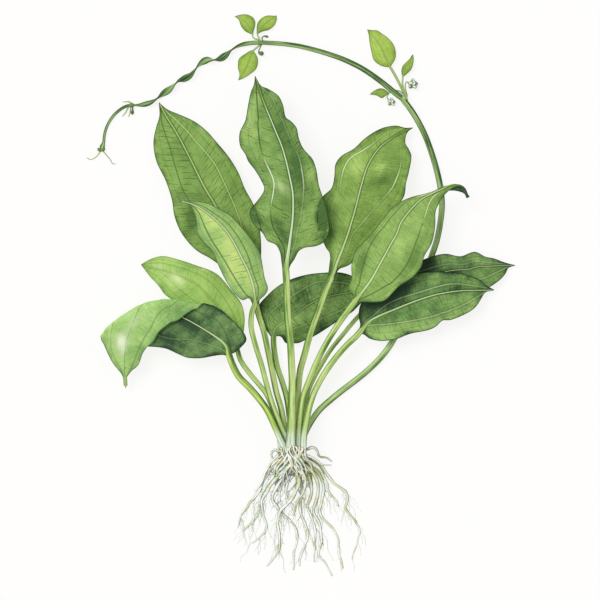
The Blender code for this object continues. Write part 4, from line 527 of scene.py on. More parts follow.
            (185, 307, 16, 6, 0, -0.1), (230, 340, 8, 8, 0, -0.15)),
        "crossing": 0.25, "ruffle": (0.6, 3.0), "rib_lift": 0.9, "tail": (9.5, 2.0),
    },
}

WHORL_LOOKS = {
    "tones": ((0.20, 0.34, 0.05), (0.36, 0.52, 0.09), (0.56, 0.70, 0.20)), "hatching": 0.4,
    "vein": (0.32, 0.49, 0.12), "rim": 0.7, "rib_shade": 0.35, "rib": (0.9, 0.22, 0.15), "side": (-0.1, -0.1),
    "bands": (0, 0, 0.1, 0.15, 0, 0, -0.1, -0.1), "crossing": 0.1, "lines": 0.6,
    "ruffle": (0.25, 2.0),
}

# The stalk's four lengths as x, y and height, and their half widths. The third is a strip that twists:
# it stands on edge at each TWIST_EDGE_X, is round to the right of the first TWIST_ROUND_X and wholly
# flat to the left of the second, and narrows to its end between the two of TWIST_TAPER_X.
STALK_LOWER = ((301.2, 445, 6.6), (303.4, 437, 6.5), (306.6, 429.5, 6.2), (312, 420, 5.6),
    (319.3, 410, 4.7), (330.3, 400, 3.6), (342.6, 390, 2.8), (355.9, 380, 2.6), (368, 370, 2.6),
    (378.4, 360, 2.6), (386.7, 350, 2.7), (393.2, 340, 2.8), (404.4, 321, 2.9), (416, 297, 2.9),
    (425.2, 273, 2.8), (431.9, 255, 2.7), (436.9, 240, 2.6), (440.2, 223, 2.6), (441.9, 205, 2.6),
    (440.4, 188, 2.6), (436.6, 170, 2.6), (430.5, 150, 2.7), (424.8, 135, 2.8), (417.2, 120, 3.2),
    (410.9, 110, 4), (406.9, 104.6, 4.6), (404.2, 101.2, 5))
STALK_LOWER_HALF = (3.0, 2.8)
STALK_ARCH = ((401.9, 98.3, 5), (398.6, 95.8, 4.8), (393.5, 91.9, 4.6), (387, 86.5, 4), (380, 80.9, 3.2),
    (370, 73.7, 2.6), (360, 67.4, 2.4), (350, 62.4, 2.4), (340, 58.1, 2.4), (320, 51.5, 2.4),
    (300, 46.4, 2.4), (290, 44.8, 2.4), (280, 43.7, 2.6), (268, 43, 3.4), (261.2, 42.7, 4))
STALK_ARCH_HALF = (2.8, 2.1)
STALK_TWIST = ((258.0, 42.8, 4), (250, 43.3, 3.9), (240, 45.5, 3.8), (232, 49.8, 3.7), (225, 55.8, 3.6),
    (220, 59, 3.6), (214, 60.1, 3.5), (207, 60.1, 3.5), (200, 64.2, 3.5), (195, 70, 3.4), (190, 75.8, 3.4),
    (184, 79, 3.4), (179, 80.8, 3.4), (175.6, 83.6, 3.4), (169.5, 89.5, 3.4), (163, 94, 3.4),
    (157.5, 98.4, 3.3), (150, 102.8, 3), (141, 105, 2.5), (133.4, 105.3, 2.3))
TWIST_EDGE_X = (133.0, 157.5, 176.5, 196.5, 214.5, 232.0, 256.0)
TWIST_WIDE = 3.3
TWIST_NARROW = 0.85
TWIST_ROUND_X = (251.0, 237.0)
TWIST_ROUND_HALF = 2.1
TWIST_TAPER_X = (155.0, 133.0)
TWIST_END_HALF = 1.5
STALK_END = ((130.4, 105.2, 2.2), (125, 106.8, 1.8), (119.5, 110.2, 1.5), (113.4, 116, 1.4),
    (107.4, 125.5, 1.4), (104.5, 135, 1.4), (103.7, 142.5, 1.5), (102.4, 146.5, 2.3), (101.6, 149.3, 2.4))
STALK_END_HALF = (1.5, 1.5, 1.5, 1.5, 1.4, 1.4, 1.4, 2.5, 1.4)
# Small pieces of the whorls and the tip: x, y and height along each, and its half widths.
SMALL_PIECES = {
    "whorl1_buds_right": (((407.0, 95.2, 3.0), (405.7, 90, 2.2), (405.2, 85.5, 1.8), (406.4, 82.2, 2.2),
        (408.3, 82.4, 3.4), (409.4, 82.9, 4.2), (412.5, 84, 4.5), (415.4, 84.8, 4.5), (416.5, 85.1, 4.5)),
        (0.5, 0.5, 0.5, 0.5, 0.8, 3.2, 4.4, 3.2, 0.8)),
    "whorl1_buds_left": (((388.2, 94.6, 1.0), (387, 96.3, 1.0), (387.6, 98.6, 2.2), (388.7, 99.8, 3.6),
        (391.3, 102.3, 4.1), (393.3, 104.3, 4.1), (394.3, 105.3, 4.1)),
        (0.5, 0.5, 0.8, 3.0, 4.0, 2.9, 0.8)),
    "whorl2_bud_upper": (((262.4, 39.6, 4.0), (262, 37.9, 3.4), (263.4, 36.6, 2.2), (265.2, 36.3, 1.8),
        (266.8, 36.6, 1.6), (268.2, 37.4, 1.5)), (0.6, 0.6, 0.6, 0.9, 1.3, 0.7)),
    "whorl2_bud_low": (((261.0, 45.9, 3.4), (259.6, 49, 2.8), (258.7, 51.4, 2.6), (259.7, 53, 2.7),
        (261.9, 53.7, 2.8), (263.6, 54.2, 2.8)), (0.6, 0.6, 0.6, 1.7, 2.5, 1.2)),
    "whorl3_bract_upper": (((130.8, 102.9, 2.6), (128.5, 101.7, 2), (125.5, 101.9, 1.2),
        (122.6, 102, 0.8)), (0.8, 0.7, 0.5, 0.35)),
    "whorl3_bract_left": (((127.8, 108.5, 1.6), (125.3, 113, 1.1), (122.4, 116.4, 0.7)), (0.6, 0.6, 0.35)),
    "whorl3_bract_mid": (((130.4, 107.5, 2.0), (130.2, 112, 1.1), (128.6, 117, 0.7)), (0.6, 0.6, 0.35)),
    "whorl3_bud": (((132.6, 107.4, 2.4), (132.6, 110.2, 2.1), (132.4, 112.6, 2), (132.2, 114.6, 2)),
        (0.8, 1.0, 1.9, 0.8)),
    "tip_tendril_left": (((100.7, 151.0, 2.2), (97.6, 155.4, 1.2), (93.4, 158.7, 0.7), (89.9, 159.5, 0.6),
        (86.7, 157.6, 0.6)), (0.6, 0.5, 0.45, 0.4, 0.3)),
    "tip_tendril_right": (((103.0, 151.0, 2.2), (107.3, 156.1, 1.2), (110.3, 159.6, 0.7),
        (112.6, 163.6, 0.6), (115.5, 163.9, 0.6)), (0.6, 0.5, 0.45, 0.4, 0.3)),
}
# Main roots: x, y and height along each, and its half width at either end.
ROOTS = {
    "root_loop_left": (((284, 452, 17), (278, 450.3, 19.5), (275.3, 449, 19.6), (271.8, 453, 16),
        (272.4, 457.6, 13.6)), (1.0, 0.6)),
    "root_left_high": (((284, 452, 14), (277.5, 456, 14), (271, 462, 10.6), (266.5, 470, 7.8),
        (262, 481, 5), (255.5, 491, 2)), (1.4, 0.7)),
    "root_left_outer": (((286, 456, 5), (279, 461.5, 5.4), (270.5, 470, 3), (263.5, 482, 1.7),
        (257.5, 494, 1.5), (248, 505.5, 1.3), (240.5, 516, 1.0), (238, 528, 0.7)), (1.6, 0.5)),
    "root_left_mid": (((288, 460, 8), (281, 466, 8), (271, 480, 4), (262.5, 492, 1.9), (259, 503, 1.7),
        (258.5, 513, 1.5), (250, 524, 1.2), (240.8, 531.6, 0.8)), (1.7, 0.6)),
    "root_left_inner": (((290, 462, 13), (283.5, 469, 11), (276, 479, 8.5), (267.5, 490, 6.5),
        (262, 500, 5.4), (263, 513, 3.4), (266.6, 527, 1.6), (261, 536.5, 1.1), (252, 542.6, 0.8)),
        (1.7, 0.6)),
    "root_mid_left": (((291, 464, 6), (286, 473, 5.8), (277, 486, 4.6), (272.5, 498, 3), (279, 509.5, 1.7),
        (289.6, 520, 1.5), (296, 530, 1.4), (296.4, 544, 1.3), (294.3, 555, 1.0), (293.6, 570, 0.8)),
        (1.7, 0.6)),
    "root_short_left": (((290, 466, 2), (287, 475, 1.9), (282, 484, 1.6), (279.4, 493, 1.4),
        (279.8, 502, 1.0)), (1.6, 0.8)),
    "root_short_mid": (((292, 464, 10), (290.5, 473, 8.6), (287.6, 483, 5), (285.8, 493, 2),
        (286.4, 499, 1.2)), (1.8, 0.9)),
    "root_sweep": (((294, 464, 13), (296.5, 472, 12), (299, 482, 10), (295.5, 493, 8.4), (287, 504, 7),
        (280, 511.5, 5.6), (277.8, 524, 3), (280, 541, 1.7), (279.8, 549, 1.5), (273.5, 558, 1.2),
        (266.6, 565.8, 0.8)), (1.9, 0.7)),
    "root_bend": (((296, 464, 16), (302, 471, 15), (305.6, 481, 11.5), (303.6, 491, 8.6), (299, 499, 7),
        (295.5, 508, 5), (292.6, 515, 3.6)), (1.5, 0.8)),
    "root_mid": (((295, 464, 5), (299, 473, 4.6), (301.5, 487, 2.2), (300.4, 501, 1.8), (301, 514.6, 1.6),
        (306, 525.4, 1.4), (308, 537.5, 1.3), (301, 553.6, 1.1), (299.7, 566, 0.8)), (1.7, 0.6)),
    "root_mid_right": (((298, 462, 9), (305.5, 471, 8), (311, 484, 4), (311, 497, 1.9), (307.5, 508, 1.7),
        (312.3, 518.6, 1.5), (315.2, 532, 1.4), (314.5, 552, 1.1), (315, 562, 0.8)), (1.7, 0.6)),
    "root_long": (((299, 461, 13), (308, 467, 12), (316, 478, 8), (318, 494, 3), (313.6, 510, 1.9),
        (319.3, 523, 1.7), (321, 541, 1.5), (319.4, 555, 1.2), (326, 564, 1.0), (332, 576, 0.8)),
        (1.8, 0.6)),
    "root_right_inner": (((300, 459, 6), (309.5, 465, 5.8), (320.6, 477, 2.6), (323.6, 489, 1.7),
        (321.5, 502, 1.6), (320, 511, 1.5), (326, 522, 1.4), (333.5, 530, 1.4), (338.3, 540, 1.2),
        (339.4, 553, 1.0), (343.4, 568.5, 0.7)), (1.8, 0.5)),
    "root_right_mid": (((300, 457, 11), (310, 461, 11), (319.5, 469.5, 8.5), (326, 481, 5.4),
        (329, 492, 3), (336.5, 501, 1.4), (338.4, 506, 1.0)), (1.5, 0.8)),
    "root_right_outer": (((299, 455, 4), (311, 458.5, 4.6), (320.5, 465, 3.6), (327.6, 475.4, 2),
        (333.5, 483, 1.6), (340, 486.6, 1.5), (346, 492, 1.4), (347.4, 500, 1.3), (345.4, 509.5, 1.2),
        (353, 517.6, 1.1), (359.3, 529.6, 1.0), (357.6, 541.5, 0.9), (351.5, 559, 0.6)), (1.6, 0.4)),
    "root_right_high": (((299, 453, 16), (308.5, 455, 16), (316, 459.5, 12.6), (323, 464.6, 8),
        (331, 465.2, 3)), (1.2, 0.6)),
    "root_loop_right": (((300, 451, 12), (309, 448.5, 14.6), (312.5, 447.6, 15), (316.8, 450.6, 13),
        (319.6, 456, 9), (326.8, 457.6, 4), (332, 461.2, 1.0)), (1.1, 0.5)),
}


# ---- paths and surfaces on the sheet


def ramp(values, low, high):
    """0 at low and 1 at high, evenly between."""
    return np.clip((values - low) / (high - low), 0.0, 1.0)


def smoothstep(values, low, high):
    """0 at low and 1 at high, smoothly."""
    t = ramp(values, low, high)
    return t * t * (3.0 - 2.0 * t)


def running_mean(values, reach=3):
    """Each value averaged with its neighbours on either side, the ends repeated."""
    count = 2 * reach + 1
    return np.convolve(np.pad(values, reach, mode="edge"), np.ones(count) / count, mode="valid")


def unit(vectors):
    """The vectors at length one."""
    return vectors / np.maximum(np.linalg.norm(vectors, axis=-1, keepdims=True), 1e-9)


def sideways(tangents):
    """Level unit vectors square to the given directions."""
    return unit(np.stack([tangents[:, 1], -tangents[:, 0], np.zeros(len(tangents))], axis=1))


def smooth_path(points, steps=10):
    """The points joined by a smooth curve through all of them, as a dense polyline."""
    points = np.array(points, float)
    if len(points) < 3:
        return points
    spans = np.linalg.norm(np.diff(points[:, :2], axis=0), axis=1)
    times = np.sqrt(np.maximum(spans, 1e-6))[:, None]
    slope = np.diff(points, axis=0) / times
    share = times[:-1] / (times[:-1] + times[1:])
    slopes = np.concatenate([slope[:1], slope[:-1] * (1.0 - share) + slope[1:] * share, slope[-1:]])
    t = np.arange(1, steps + 1)[:, None] / steps
    out = [points[:1]]
    for i, time in enumerate(times):
        out.append(points[i] * (2 * t ** 3 - 3 * t ** 2 + 1) + slopes[i] * time * (t ** 3 - 2 * t ** 2 + t)
                   + points[i + 1] * (3 * t ** 2 - 2 * t ** 3) + slopes[i + 1] * time * (t ** 3 - t ** 2))
    return np.concatenate(out)


def fractions_of(path):
    """The share of a polyline's length at each of its points, and the length."""
    lengths = np.concatenate([[0.0], np.cumsum(np.linalg.norm(np.diff(path, axis=0), axis=1))])
    return lengths / lengths[-1], lengths[-1]


def along(path, at):
    """Points of a dense polyline at the given fractions of its length."""
    where, _ = fractions_of(path)
    return np.stack([np.interp(at, where, column) for column in path.T], axis=-1)


def evenly(points, count):
    """So many points at even steps along the smooth path through the given ones."""
    return along(smooth_path(points), np.linspace(0.0, 1.0, count))


def longer(path, before, after):
    """The path carried straight on at either end."""
    first = path[:1] + unit(path[:1] - path[1:2]) * before
    last = path[-1:] + unit(path[-1:] - path[-2:-1]) * after
    return np.concatenate([first, path, last])


def profile(values, at):
    """Evenly spaced values joined smoothly, read at fractions between 0 and 1."""
    knots = np.stack([np.linspace(0.0, 1.0, len(values)), np.array(values, float)], axis=1)
    return np.interp(at, *smooth_path(knots).T)


def fold_over(points, crease):
    """Rolls what lies beyond the crease over (or under) the rest, about the crease's curved line."""
    start = np.array(crease["start"], float)
    run = unit(crease["end"] - start)
    out = np.array([run[1], -run[0]])
    out = -out if out[1] > 0 else out
    flat = points[..., :2] - start
    s = flat @ run
    p = flat @ out
    r = np.interp(s, *np.transpose(crease["radius"]))
    line = np.interp(s, *np.transpose(crease["bulge"])) - r
    turn = crease["turn"]
    beyond = np.maximum(p - line, 0.0)
    angle = np.minimum(beyond / r, turn)
    rest = np.maximum(beyond - turn * r, 0.0)
    p = np.minimum(p, line) + r * np.sin(angle) + rest * math.cos(turn)
    lift = crease["sense"] * (r * (1.0 - np.cos(angle)) + rest * math.sin(turn))
    flat = start + s[..., None] * run + p[..., None] * out
    return np.concatenate([flat, (points[..., 2] + lift)[..., None]], axis=-1)


def blade_rails(leaf):
    """Left margin, rib and right margin, all from the petiole's top to the tip."""
    petiole = np.array(leaf["petiole"], float)
    foot = petiole[-1, :2]
    heading = unit(foot - petiole[-2, :2])
    side = np.array([heading[1], -heading[0]]) * leaf["top"][0]
    rails = ((foot + side, "left"), (foot, "rib"), (foot - side, "right"))
    return [smooth_path([start, *leaf[key], leaf["tip"]]) for start, key in rails]


def crossing_share(rib, margin, vein):
    """How far from rib to margin each row meets a vein; rows that miss it ease off to the usual share."""
    usual = np.full(len(rib), INNER_VEIN)
    if not vein:
        return usual
    shares = np.full(len(rib), np.nan)
    path = smooth_path(vein)
    for row, (here, there) in enumerate(zip(rib, margin)):
        chord = there - here
        length = np.linalg.norm(chord)
        if length < 1.0:
            continue
        off = path - here
        across = (off[:, 0] * chord[1] - off[:, 1] * chord[0]) / length
        for k in np.nonzero(np.diff(np.sign(across)))[0]:
            part = across[k] / (across[k] - across[k + 1])
            met = path[k] + (path[k + 1] - path[k]) * part
            share = float((met - here) @ chord) / length ** 2
            if VEIN_RANGE[0] < share < VEIN_RANGE[1]:
                shares[row] = share
    known = np.nonzero(~np.isnan(shares))[0]
    if len(known) < 3:
        return usual
    rows = np.arange(len(rib))
    away = np.maximum(known[0] - rows, rows - known[-1]).clip(0, VEIN_EASE) / VEIN_EASE
    return running_mean(np.interp(rows, known, shares[known]) * (1.0 - away) + INNER_VEIN * away)


def strip_columns():
    """The blade's columns from left margin to right margin, closest together beside the veins."""
    columns = [STRIPS[0]]
    for a, b, count in zip(STRIPS, STRIPS[1:], STRIP_COLUMNS):
        columns += [a + (b - a) * (1.0 - math.cos(math.pi * k / count)) / 2.0 for k in range(1, count + 1)]
    return np.array(columns)


def column_at(place):
    return int(np.argmin(np.abs(COLUMNS - place)))


COLUMNS = strip_columns()
MIDDLE = column_at(0.0)


def blade_surface(leaf, looks, row_step):
    """Rows of points over the blade, in sheet millimetres, and how far along it each one is."""
    rails = blade_rails(leaf)
    _, length = fractions_of(rails[1])
    rows = max(24, int(length / row_step))
    at = np.linspace(0.0, 1.0, rows)
    left, rib, right = (along(rail, at) for rail in rails)
    inner_left = crossing_share(rib, left, looks.get("left_vein"))
    inner_right = crossing_share(rib, right, looks.get("right_vein"))
    across = np.empty((rows, len(COLUMNS)))
    for row, inner in enumerate(zip(inner_left, inner_right)):
        outer = [share + (1.0 - share) * OUTER_SHARE for share in inner]
        places = (-1.0, -outer[0], -inner[0], 0.0, inner[1], outer[1], 1.0)
        across[row] = np.interp(COLUMNS, STRIPS, places)
    time = np.repeat(at[:, None], len(COLUMNS), axis=1)
    margin = np.where((across < 0)[..., None], left[:, None, :], right[:, None, :])
    share = np.abs(across)
    flat = rib[:, None, :] * (1.0 - share[..., None]) + margin * share[..., None]
    drops = (leaf["left_drop"], leaf.get("right_drop", leaf["left_drop"]))
    drop = np.where(across < 0, profile(drops[0], time), profile(drops[1], time))
    size, waves = looks["ruffle"]
    wave = np.sin(2.0 * math.pi * waves * time + 1.7 * np.sign(across)) + 0.4 * np.sin(9.0 * waves * time)
    wave = size * wave * smoothstep(share, 0.45, 1.0) * np.sin(math.pi * time) ** 0.5
    height = profile(leaf["heights"], time) + drop * share ** DROP_POWER + wave
    points = np.concatenate([flat, height[..., None]], axis=-1)
    if "crease" in leaf:
        points = fold_over(points, leaf["crease"])
    return points, time


def surface_normals(points):
    """Unit normals out of the upper side."""
    mirror = np.array((1.0, -1.0, 1.0))
    turned = points * mirror
    return unit(np.cross(np.gradient(turned, axis=1), np.gradient(turned, axis=0))) * mirror


def near(points, line):
    """Each point's distance from a polyline, in the same units."""
    dense = along(line, np.linspace(0.0, 1.0, 600))
    return np.array([np.linalg.norm(row[:, None, :] - dense, axis=2).min(axis=1) for row in points])


def patches(points, spots):
    """The sum of soft oval spots: x, y, radius along, radius across, turn in degrees, amount."""
    total = np.zeros(points.shape[:2])
    for x, y, long, wide, turn, amount in spots:
        angle = math.radians(-turn)
        dx = points[..., 0] - x
        dy = points[..., 1] - y
        u = (dx * math.cos(angle) + dy * math.sin(angle)) / long
        v = (dy * math.cos(angle) - dx * math.sin(angle)) / wide
        total = total + amount * np.exp(-(u * u + v * v))
    return total


def blade_marks(points, time, looks):
    """Distances from midrib, veins and margin, the run along the blade, and painted light, shade and
    highlights.
    """
    steps = np.linalg.norm(np.diff(points, axis=1), axis=2)
    lengths = np.concatenate([np.zeros((len(points), 1)), np.cumsum(steps, axis=1)], axis=1)

    def off(place):
        return lengths - lengths[:, [column_at(place)]]

    def nearer(place):
        return np.minimum(np.abs(off(-place)), np.abs(off(place)))

    rib = off(0.0)
    edge = np.minimum(near(points, points[:, 0]), near(points, points[:, -1]))
    for line in looks.get("folds", ()):
        edge = np.minimum(edge, near(points[..., :2], smooth_path(line)) + FOLD_THIN)
    _, length = fractions_of(points[:, MIDDLE])
    stations = (-1.0, -OUTER_AT, -VEIN_AT, -1e-6, 1e-6, VEIN_AT, OUTER_AT, 1.0)
    bands = np.interp(COLUMNS, stations, looks["bands"]) * smoothstep(time, 0.0, 0.15)
    glow = [(x, y, radius, radius, 0.0, amount) for x, y, radius, amount in looks.get("glow", ())]
    return {
        "rib": rib,
        "vein": nearer(VEIN_AT),
        "outer": nearer(OUTER_AT),
        "edge": edge,
        "run": time * length - looks.get("slant", CROSS_SLANT) * np.abs(rib),
        "light": bands + patches(points, looks.get("washes", ())),
        "shine": np.where(COLUMNS < 0, *looks["side"]) + patches(points, glow),
        "gleam": patches(points, looks.get("gleams", ())),
    }


def section_rings(path, wide, deep, sides, ridges=0, ridge=0.0, turns=0.0):
    """Rows of points round a path, first and last column together, with the ends drawn to a point."""
    steps = unit(np.diff(path, axis=0))
    tangents = unit(np.concatenate([steps[:1], steps[:-1] + steps[1:], steps[-1:]]))
    side = sideways(tangents)
    up = np.cross(side, tangents)
    up[up[:, 2] < 0] *= -1.0
    angle = np.linspace(0.0, 2.0 * math.pi, sides + 1)
    swell = 1.0 + ridge * np.cos(ridges * angle)
    a = wide[:, None] * np.cos(angle) * swell
    b = deep[:, None] * np.sin(angle) * swell
    turn = np.broadcast_to(turns, len(path))[:, None]
    c, s = np.cos(turn), np.sin(turn)
    rings = (path[:, None, :] + side[:, None, :] * (a * c - b * s)[..., None]
             + up[:, None, :] * (a * s + b * c)[..., None])
    first, last = (np.repeat(end[:, None, :], sides + 1, axis=1) for end in (path[:1], path[-1:]))
    return np.concatenate([first, rings, last], axis=0)


# ---- meshes


def deselect():
    bpy.ops.object.select_all(action="DESELECT")


@contextmanager
def edit_all():
    """Edit mode with everything selected, and object mode again afterwards."""
    bpy.ops.object.mode_set(mode="EDIT")
    bpy.ops.mesh.select_all(action="SELECT")
    yield
    bpy.ops.object.mode_set(mode="OBJECT")


def metres(points):
    """Sheet millimetres to scene metres."""
    return (np.array(points, float) - (CROWN_X, CROWN_Y, 0.0)) * (MM, -MM, MM)


def named(name):
    """The active object, with its mesh, under a new name."""
    thing = bpy.context.active_object
    thing.name = name
    thing.data.name = name
    return thing


def shaped_grid(name, points, marks):
    """A grid primitive with its corners moved to the given rows of points, in sheet millimetres."""
    rows, columns = points.shape[:2]
    deselect()
    bpy.ops.mesh.primitive_grid_add(x_subdivisions=columns - 1, y_subdivisions=rows - 1, size=1.0)
    thing = named(name)
    mesh = thing.data
    if len(mesh.vertices) != rows * columns:
        raise RuntimeError(f"{name}: the grid has {len(mesh.vertices)} corners")
    flat = np.empty(len(mesh.vertices) * 3)
    mesh.vertices.foreach_get("co", flat)
    column = np.rint((flat[0::3] + 0.5) * (columns - 1)).astype(int)
    row = np.rint((flat[1::3] + 0.5) * (rows - 1)).astype(int)
    mesh.vertices.foreach_set("co", metres(points)[row, column].ravel())
    for mark, values in marks.items():
        layer = mesh.attributes.new(mark, "FLOAT", "POINT")
        layer.data.foreach_set("value", values[row, column].astype(np.float32))
    mesh.update()
    with edit_all():
        bpy.ops.mesh.remove_doubles(threshold=WELD_GAP)
        bpy.ops.mesh.dissolve_degenerate(threshold=WELD_GAP)
    return thing


def join(things, name):
    deselect()
    for thing in things:
        thing.select_set(True)
    bpy.context.view_layer.objects.active = things[0]
    bpy.ops.object.join()
    return named(name)


def tube(name, rings, finish, **along_it):
    """A closed skin round rings of points, marked with its run, its sides and what changes along it."""
    rows, columns = rings.shape[:2]

    def per_row(values):
        return np.repeat(values[:, None], columns, axis=1)

    angle = np.repeat(2.0 * math.pi * np.linspace(0.0, 1.0, columns)[None, :], rows, axis=0)
    _, length = fractions_of(rings.mean(axis=1))
    marks = {"side": np.cos(angle), "top": np.sin(angle), "run": per_row(np.linspace(0.0, length, rows))}
    for mark, values in along_it.items():
        marks[mark] = per_row(np.pad(values, 1, mode="edge"))
    thing = shaped_grid(name, rings, marks)
    with edit_all():
        bpy.ops.mesh.normals_make_consistent(inside=False)
    thing.data.materials.append(finish)
    return thing


def drawn_in(places, limit):
    """Places along one axis, with what passes the limit squeezed into the last stretch before it."""
    furthest = places.max()
    if furthest <= limit:
        return places
    start = limit - EASE
    return places - (furthest - limit) * np.maximum(places - start, 0.0) / (furthest - start)


def ready(thing, slot, *nodes):
    """Keeps a finished piece inside the frame's box and hands it to the frame in place of its solids."""
    places = np.empty(len(thing.data.vertices) * 3)
    thing.data.vertices.foreach_get("co", places)
    for axis, (low, high) in enumerate(zip(*CAD_BOX)):
        places[axis::3] = drawn_in(places[axis::3], high)
        places[axis::3] = -drawn_in(-places[axis::3], -low)
    places[2::3] = np.maximum(places[2::3], FLOOR_GAP)
    thing.data.vertices.foreach_set("co", places)
    deselect()
    thing.select_set(True)
    bpy.context.view_layer.objects.active = thing
    bpy.ops.object.shade_smooth()
    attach(thing, "root")
    if nodes:
        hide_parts(*nodes)


# ---- paint


class Value:
    """One shader value. Python arithmetic on it adds Math nodes."""

    def __init__(self, finish, socket):
        self.finish = finish
        self.socket = socket

    def maths(self, operation, *values, clamp=False):
        settings = {"operation": operation, "use_clamp": clamp}
        return self.finish.node("ShaderNodeMath", settings, dict(enumerate(values)))

    def __add__(self, other):
        return self.maths("ADD", self, other)

    def __sub__(self, other):
        return self.maths("SUBTRACT", self, other)

    def __rsub__(self, other):
        return self.maths("SUBTRACT", other, self)

    def __mul__(self, other):
        return self.maths("MULTIPLY", self, other)

    __radd__ = __add__
    __rmul__ = __mul__

    def clamped(self):
        return self.maths("ADD", self, 0.0, clamp=True)

    def size(self):
        return self.maths("ABSOLUTE", self)

    def between(self, low, high):
        """0 at low and 1 at high, smoothly."""
        inputs = {"Value": self, "From Min": low, "From Max": high}
        return self.finish.node("ShaderNodeMapRange", {"interpolation_type": "SMOOTHSTEP"}, inputs)

    def below(self, low, high):
        """1 at low and 0 at high, smoothly."""
        return 1.0 - self.between(low, high)

    def lines(self, spacing, width):
        """1 on lines this far apart, falling to 0 within the given share of the spacing."""
        share = self.maths("FRACT", self * (1.0 / spacing))
        return (share - 0.5).size().below(0.0, width)


class Finish:
    """A material being mixed: its node tree, its Principled shader and the colour laid down so far."""

    def __init__(self, name, roughness=0.5, gloss=0.06):
        self.material = bpy.data.materials.new(name)
        self.material.use_nodes = True
        self.tree = self.material.node_tree
        self.shader = self.tree.nodes["Principled BSDF"]
        self.colour = None
        self.set("Roughness", roughness)
        self.set("Specular IOR Level", gloss)

    def feed(self, socket, value):
        if isinstance(value, Value):
            self.tree.links.new(value.socket, socket)
        else:
            socket.default_value = value

    def set(self, name, value):
        """Feeds one of the shader's own inputs."""
        self.feed(self.shader.inputs[name], value)

    def node(self, kind, settings=None, inputs=None, output=0):
        made = self.tree.nodes.new(kind)
        for key, value in (settings or {}).items():
            setattr(made, key, value)
        for key, value in (inputs or {}).items():
            self.feed(made.inputs[key], value)
        return Value(self, made.outputs[output])

    def marks(self, *names):
        """Numbers painted on the mesh's own points."""
        return [self.node("ShaderNodeAttribute", {"attribute_name": name}, output=2) for name in names]

    def place(self):
        """Object coordinates in millimetres."""
        here = self.node("ShaderNodeTexCoord", output=3)
        return self.node("ShaderNodeVectorMath", {"operation": "SCALE"}, {0: here, "Scale": 1.0 / MM})

    def part(self, vector, axis):
        return self.node("ShaderNodeSeparateXYZ", {}, {0: vector}, output=axis)

    def upward(self):
        """How far a face looks up."""
        return self.part(self.node("ShaderNodeNewGeometry", output=1), 2)

    def noise(self, vector, scale, detail=2.0, roughness=0.5):
        inputs = {"Vector": vector, "Scale": scale, "Detail": detail, "Roughness": roughness}
        return self.node("ShaderNodeTexNoise", {}, inputs)

    def streaks(self, x, y, z, detail=2.0, roughness=0.5):
        """Noise over three values, such as the run along a blade and how far across it."""
        return self.noise(self.node("ShaderNodeCombineXYZ", {}, {0: x, 1: y, 2: z}), 1.0, detail, roughness)

    def mix(self, factor, first, second, blend="MIX"):
        second = (*second, 1.0) if isinstance(second, tuple) else second
        settings = {"data_type": "RGBA", "blend_type": blend}
        return self.node("ShaderNodeMix", settings, {0: factor, 6: first, 7: second}, output=2)

    def tones(self, value, colours):
        """Dark, middle and light joined in a ramp."""
        made = self.tree.nodes.new("ShaderNodeValToRGB")
        stops = made.color_ramp.elements
        while len(stops) < len(colours):
            stops.new(0.5)
        for k, colour in enumerate(colours):
            stops[k].position = k / (len(colours) - 1)
            stops[k].color = (*colour, 1.0)
        self.feed(made.inputs[0], value)
        return Value(self, made.outputs[0])

    def lay(self, factor, colour, blend="MIX"):
        """Lays one more colour over what is there."""
        self.colour = self.mix(factor, self.colour, colour, blend)

    def done(self, height, strength, distance):
        """Feeds colour and relief to the shader and hands over the material."""
        inputs = {"Strength": strength, "Distance": distance, "Height": height}
        self.set("Normal", self.node("ShaderNodeBump", {}, inputs))
        self.set("Base Color", self.colour)
        return self.material


def darker(tone, share):
    return tuple(c * share for c in tone)


